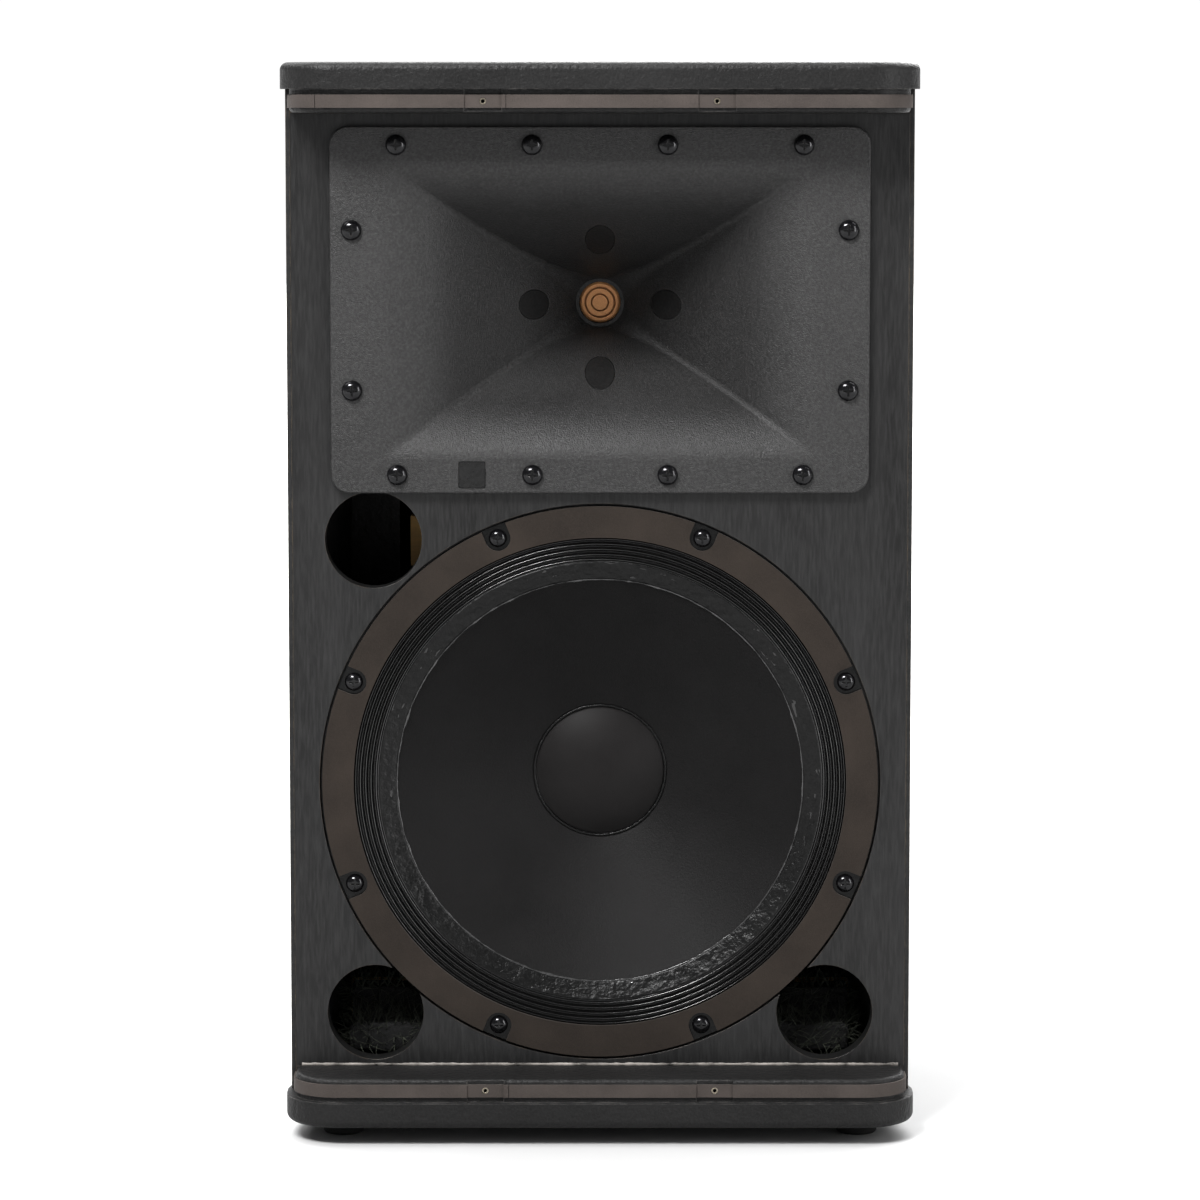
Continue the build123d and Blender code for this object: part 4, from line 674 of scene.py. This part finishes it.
def tufts(name, pad, seed):
    """Loose curled fibres where a pad shows through the ports, each a closed taper."""
    draw = random.Random(seed)
    shown = [face for face in pad.data.polygons if face.normal.z > -0.2 and face.center.y < SHOWN_TO_Y]
    shown = [face for face in shown if abs(face.center.x) > SHOWN_FROM_X]
    vertices, faces = [], []
    for _ in range(FIBRES):
        face = draw.choice(shown)
        root = Vector(face.center)
        heading = (Vector(face.normal) + random_vector(draw, FIBRE_LEAN)).normalized()
        bend = random_vector(draw, FIBRE_BEND)
        across = heading.cross(Vector((0.3, 0.2, 1.0))).normalized()
        beside = heading.cross(across).normalized()
        step = draw.uniform(*FIBRE_STEP)
        first = len(vertices)
        for joint in range(FIBRE_JOINTS):
            reach = FIBRE_R * (1 - joint / (FIBRE_JOINTS + 1))
            for side in range(3):
                turn = 2 * math.pi * side / 3
                vertices.append(root + (across * math.cos(turn) + beside * math.sin(turn)) * reach)
            heading = (heading + bend * 0.35).normalized()
            root = root + heading * step
        vertices.append(root)
        tip = len(vertices) - 1
        for side in range(3):
            after = (side + 1) % 3
            for joint in range(FIBRE_JOINTS - 1):
                ring = first + 3 * joint
                faces.append((ring + side, ring + after, ring + 3 + after, ring + 3 + side))
            faces.append((tip - 3 + side, tip - 3 + after, tip))
        faces.append((first + 2, first + 1, first))
    made = piece(name, vertices, faces, "wadding_fibre")
    clean_axis(made)
    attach(made, "root")


tufts("floor_wadding_tufts", bpy.data.objects["floor_wadding_fibre"], 5)

# ---------------------------------------------------------------- old glue under the baffle
GLUE_R = 0.0012
GLUE_END = 0.004            # metres between the end of the glue and the baffle's side


def glue_line(name, low_x, high_x, y, z, seed, steps=900, sides=7):
    """An uneven strip of old glue along an inside corner."""
    vertices = []
    for step in range(steps + 1):
        x = low_x + (high_x - low_x) * step / steps
        rough = noise.noise(Vector((x * 60, seed, 0))) * 0.6 + noise.noise(Vector((x * 220, seed, 5))) * 0.5
        size = GLUE_R * (1 + 0.75 * rough)
        for side in range(sides):
            turn = 2 * math.pi * side / sides
            vertices.append((x, y + size * math.cos(turn) * 0.8, z + size * math.sin(turn)))
    faces = ring_faces(steps + 1, sides, False)
    faces.append(tuple(range(sides)))
    faces.append(tuple(reversed(range(steps * sides, (steps + 1) * sides))))
    made = piece(name, vertices, faces, "edge_glue")
    clean_axis(made)
    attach(made, "root")


baffle_low, baffle_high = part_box("baffle")
glue_line(
    "baffle_glue_line", baffle_low.x + GLUE_END, baffle_high.x - GLUE_END,
    FACE_Y - 0.0004, baffle_low.z + 0.0008, 2.0,
)

# ================================================================ stage, light and camera
FLOOR_SIZE = 30.0
# The floor round the speaker is painted darker than far out. This is painted shade under and around the
# speaker, and it also throws less light up into the horn.
FLOOR_PAINTED_SHADE = ((0.44, 0.44, 0.44), (0.47, 0.47, 0.47))
FLOOR_FAR = (0.90, 0.90, 0.90)
FLOOR_SHADE_FADE = (1.2, 4.0)     # metres from the middle over which the painted shade near the speaker turns to the pale far floor
SKY = (0.27, 0.27, 0.275)
HORIZON = (0.86, 0.86, 0.86)
HORIZON_TOP = 0.085         # sine of the angle up to which the pale band reaches
HORIZON_FADE = 0.04
LENS = 140.5
SENSOR = 36.0
CAMERA_BACK = 3.2
CAMERA_Z = 0.712
AIM_Z = 0.371
EXPOSURE = 0.25
GAMMA = 0.84

bpy.ops.mesh.primitive_plane_add(size=FLOOR_SIZE, location=(0, 0, 0))
floor = bpy.context.object
floor.name = "floor"
floor_material, floor_tree, floor_shader = new_nodes("floor_pale_with_painted_shade")
floor_space = place(floor_tree, (1, 1, 1))
floor_tone = noise_at(floor_tree, floor_space, 3.0)
# Painted shade near the speaker, fading to the pale far floor with the distance from the middle.
floor_painted_shade = mix(floor_tree, spread(floor_tree, floor_tone, TONE_LOW, TONE_HIGH), *FLOOR_PAINTED_SHADE)
floor_reach = floor_tree.nodes.new("ShaderNodeVectorMath")
floor_reach.operation = "LENGTH"
floor_tree.links.new(floor_space, floor_reach.inputs[0])
floor_shade_fade = spread(floor_tree, floor_reach.outputs["Value"], *FLOOR_SHADE_FADE)
floor_colour = mix(floor_tree, floor_shade_fade, floor_painted_shade, FLOOR_FAR)
floor_tree.links.new(floor_colour, floor_shader.inputs["Base Color"])
floor_shader.inputs["Roughness"].default_value = 0.8
floor.data.materials.append(floor_material)

world = bpy.data.worlds.new("studio")
bpy.context.scene.world = world
world.use_nodes = True
sky = world.node_tree
directions = sky.nodes.new("ShaderNodeTexCoord")
split = sky.nodes.new("ShaderNodeSeparateXYZ")
sky.links.new(directions.outputs["Generated"], split.inputs[0])
above = math_node(sky, "ABSOLUTE", split.outputs["Z"], 0.0)
sky_tone = mix(sky, spread(sky, above, HORIZON_TOP, HORIZON_TOP + HORIZON_FADE), HORIZON, SKY)
sky.links.new(sky_tone, sky.nodes["Background"].inputs["Color"])


def aimed(location, target):
    """The turn that points a light or camera at a target."""
    return (Vector(target) - Vector(location)).to_track_quat("-Z", "Y").to_euler()


def area_light(name, location, target, size, power):
    """A rectangular lamp aimed at a point."""
    data = bpy.data.lights.new(name, "AREA")
    data.shape = "RECTANGLE"
    data.size, data.size_y = size
    data.energy = power
    made = bpy.data.objects.new(name, data)
    bpy.context.scene.collection.objects.link(made)
    made.location = location
    made.rotation_euler = aimed(location, target)


area_light("key", (-1.1, -2.0, 2.8), (0, -0.1, 0.35), (1.3, 0.9), 175)
area_light("right_strip", (2.3, -1.5, 1.0), (0, -0.1, 0.4), (0.8, 1.8), 34)
area_light("overhead", (0, 7.0, 7.0), (0, 7.0, 0), (16.0, 16.0), 2600)
area_light("back", (0.6, 2.2, 1.9), (0, 0.1, 0.4), (1.6, 1.6), 45)

camera_data = bpy.data.cameras.new("camera")
camera = bpy.data.objects.new("camera", camera_data)
bpy.context.scene.collection.objects.link(camera)
camera_data.lens = LENS
camera_data.sensor_width = SENSOR
camera_data.clip_start = 0.05
camera.location = (0.0, FACE_Y - CAMERA_BACK, CAMERA_Z)
camera.rotation_euler = aimed(camera.location, (0.0, FACE_Y, AIM_Z))
bpy.context.scene.camera = camera
bpy.context.scene.view_settings.view_transform = "Standard"
bpy.context.scene.view_settings.exposure = EXPOSURE
bpy.context.scene.view_settings.gamma = GAMMA

bpy.context.view_layer.update()
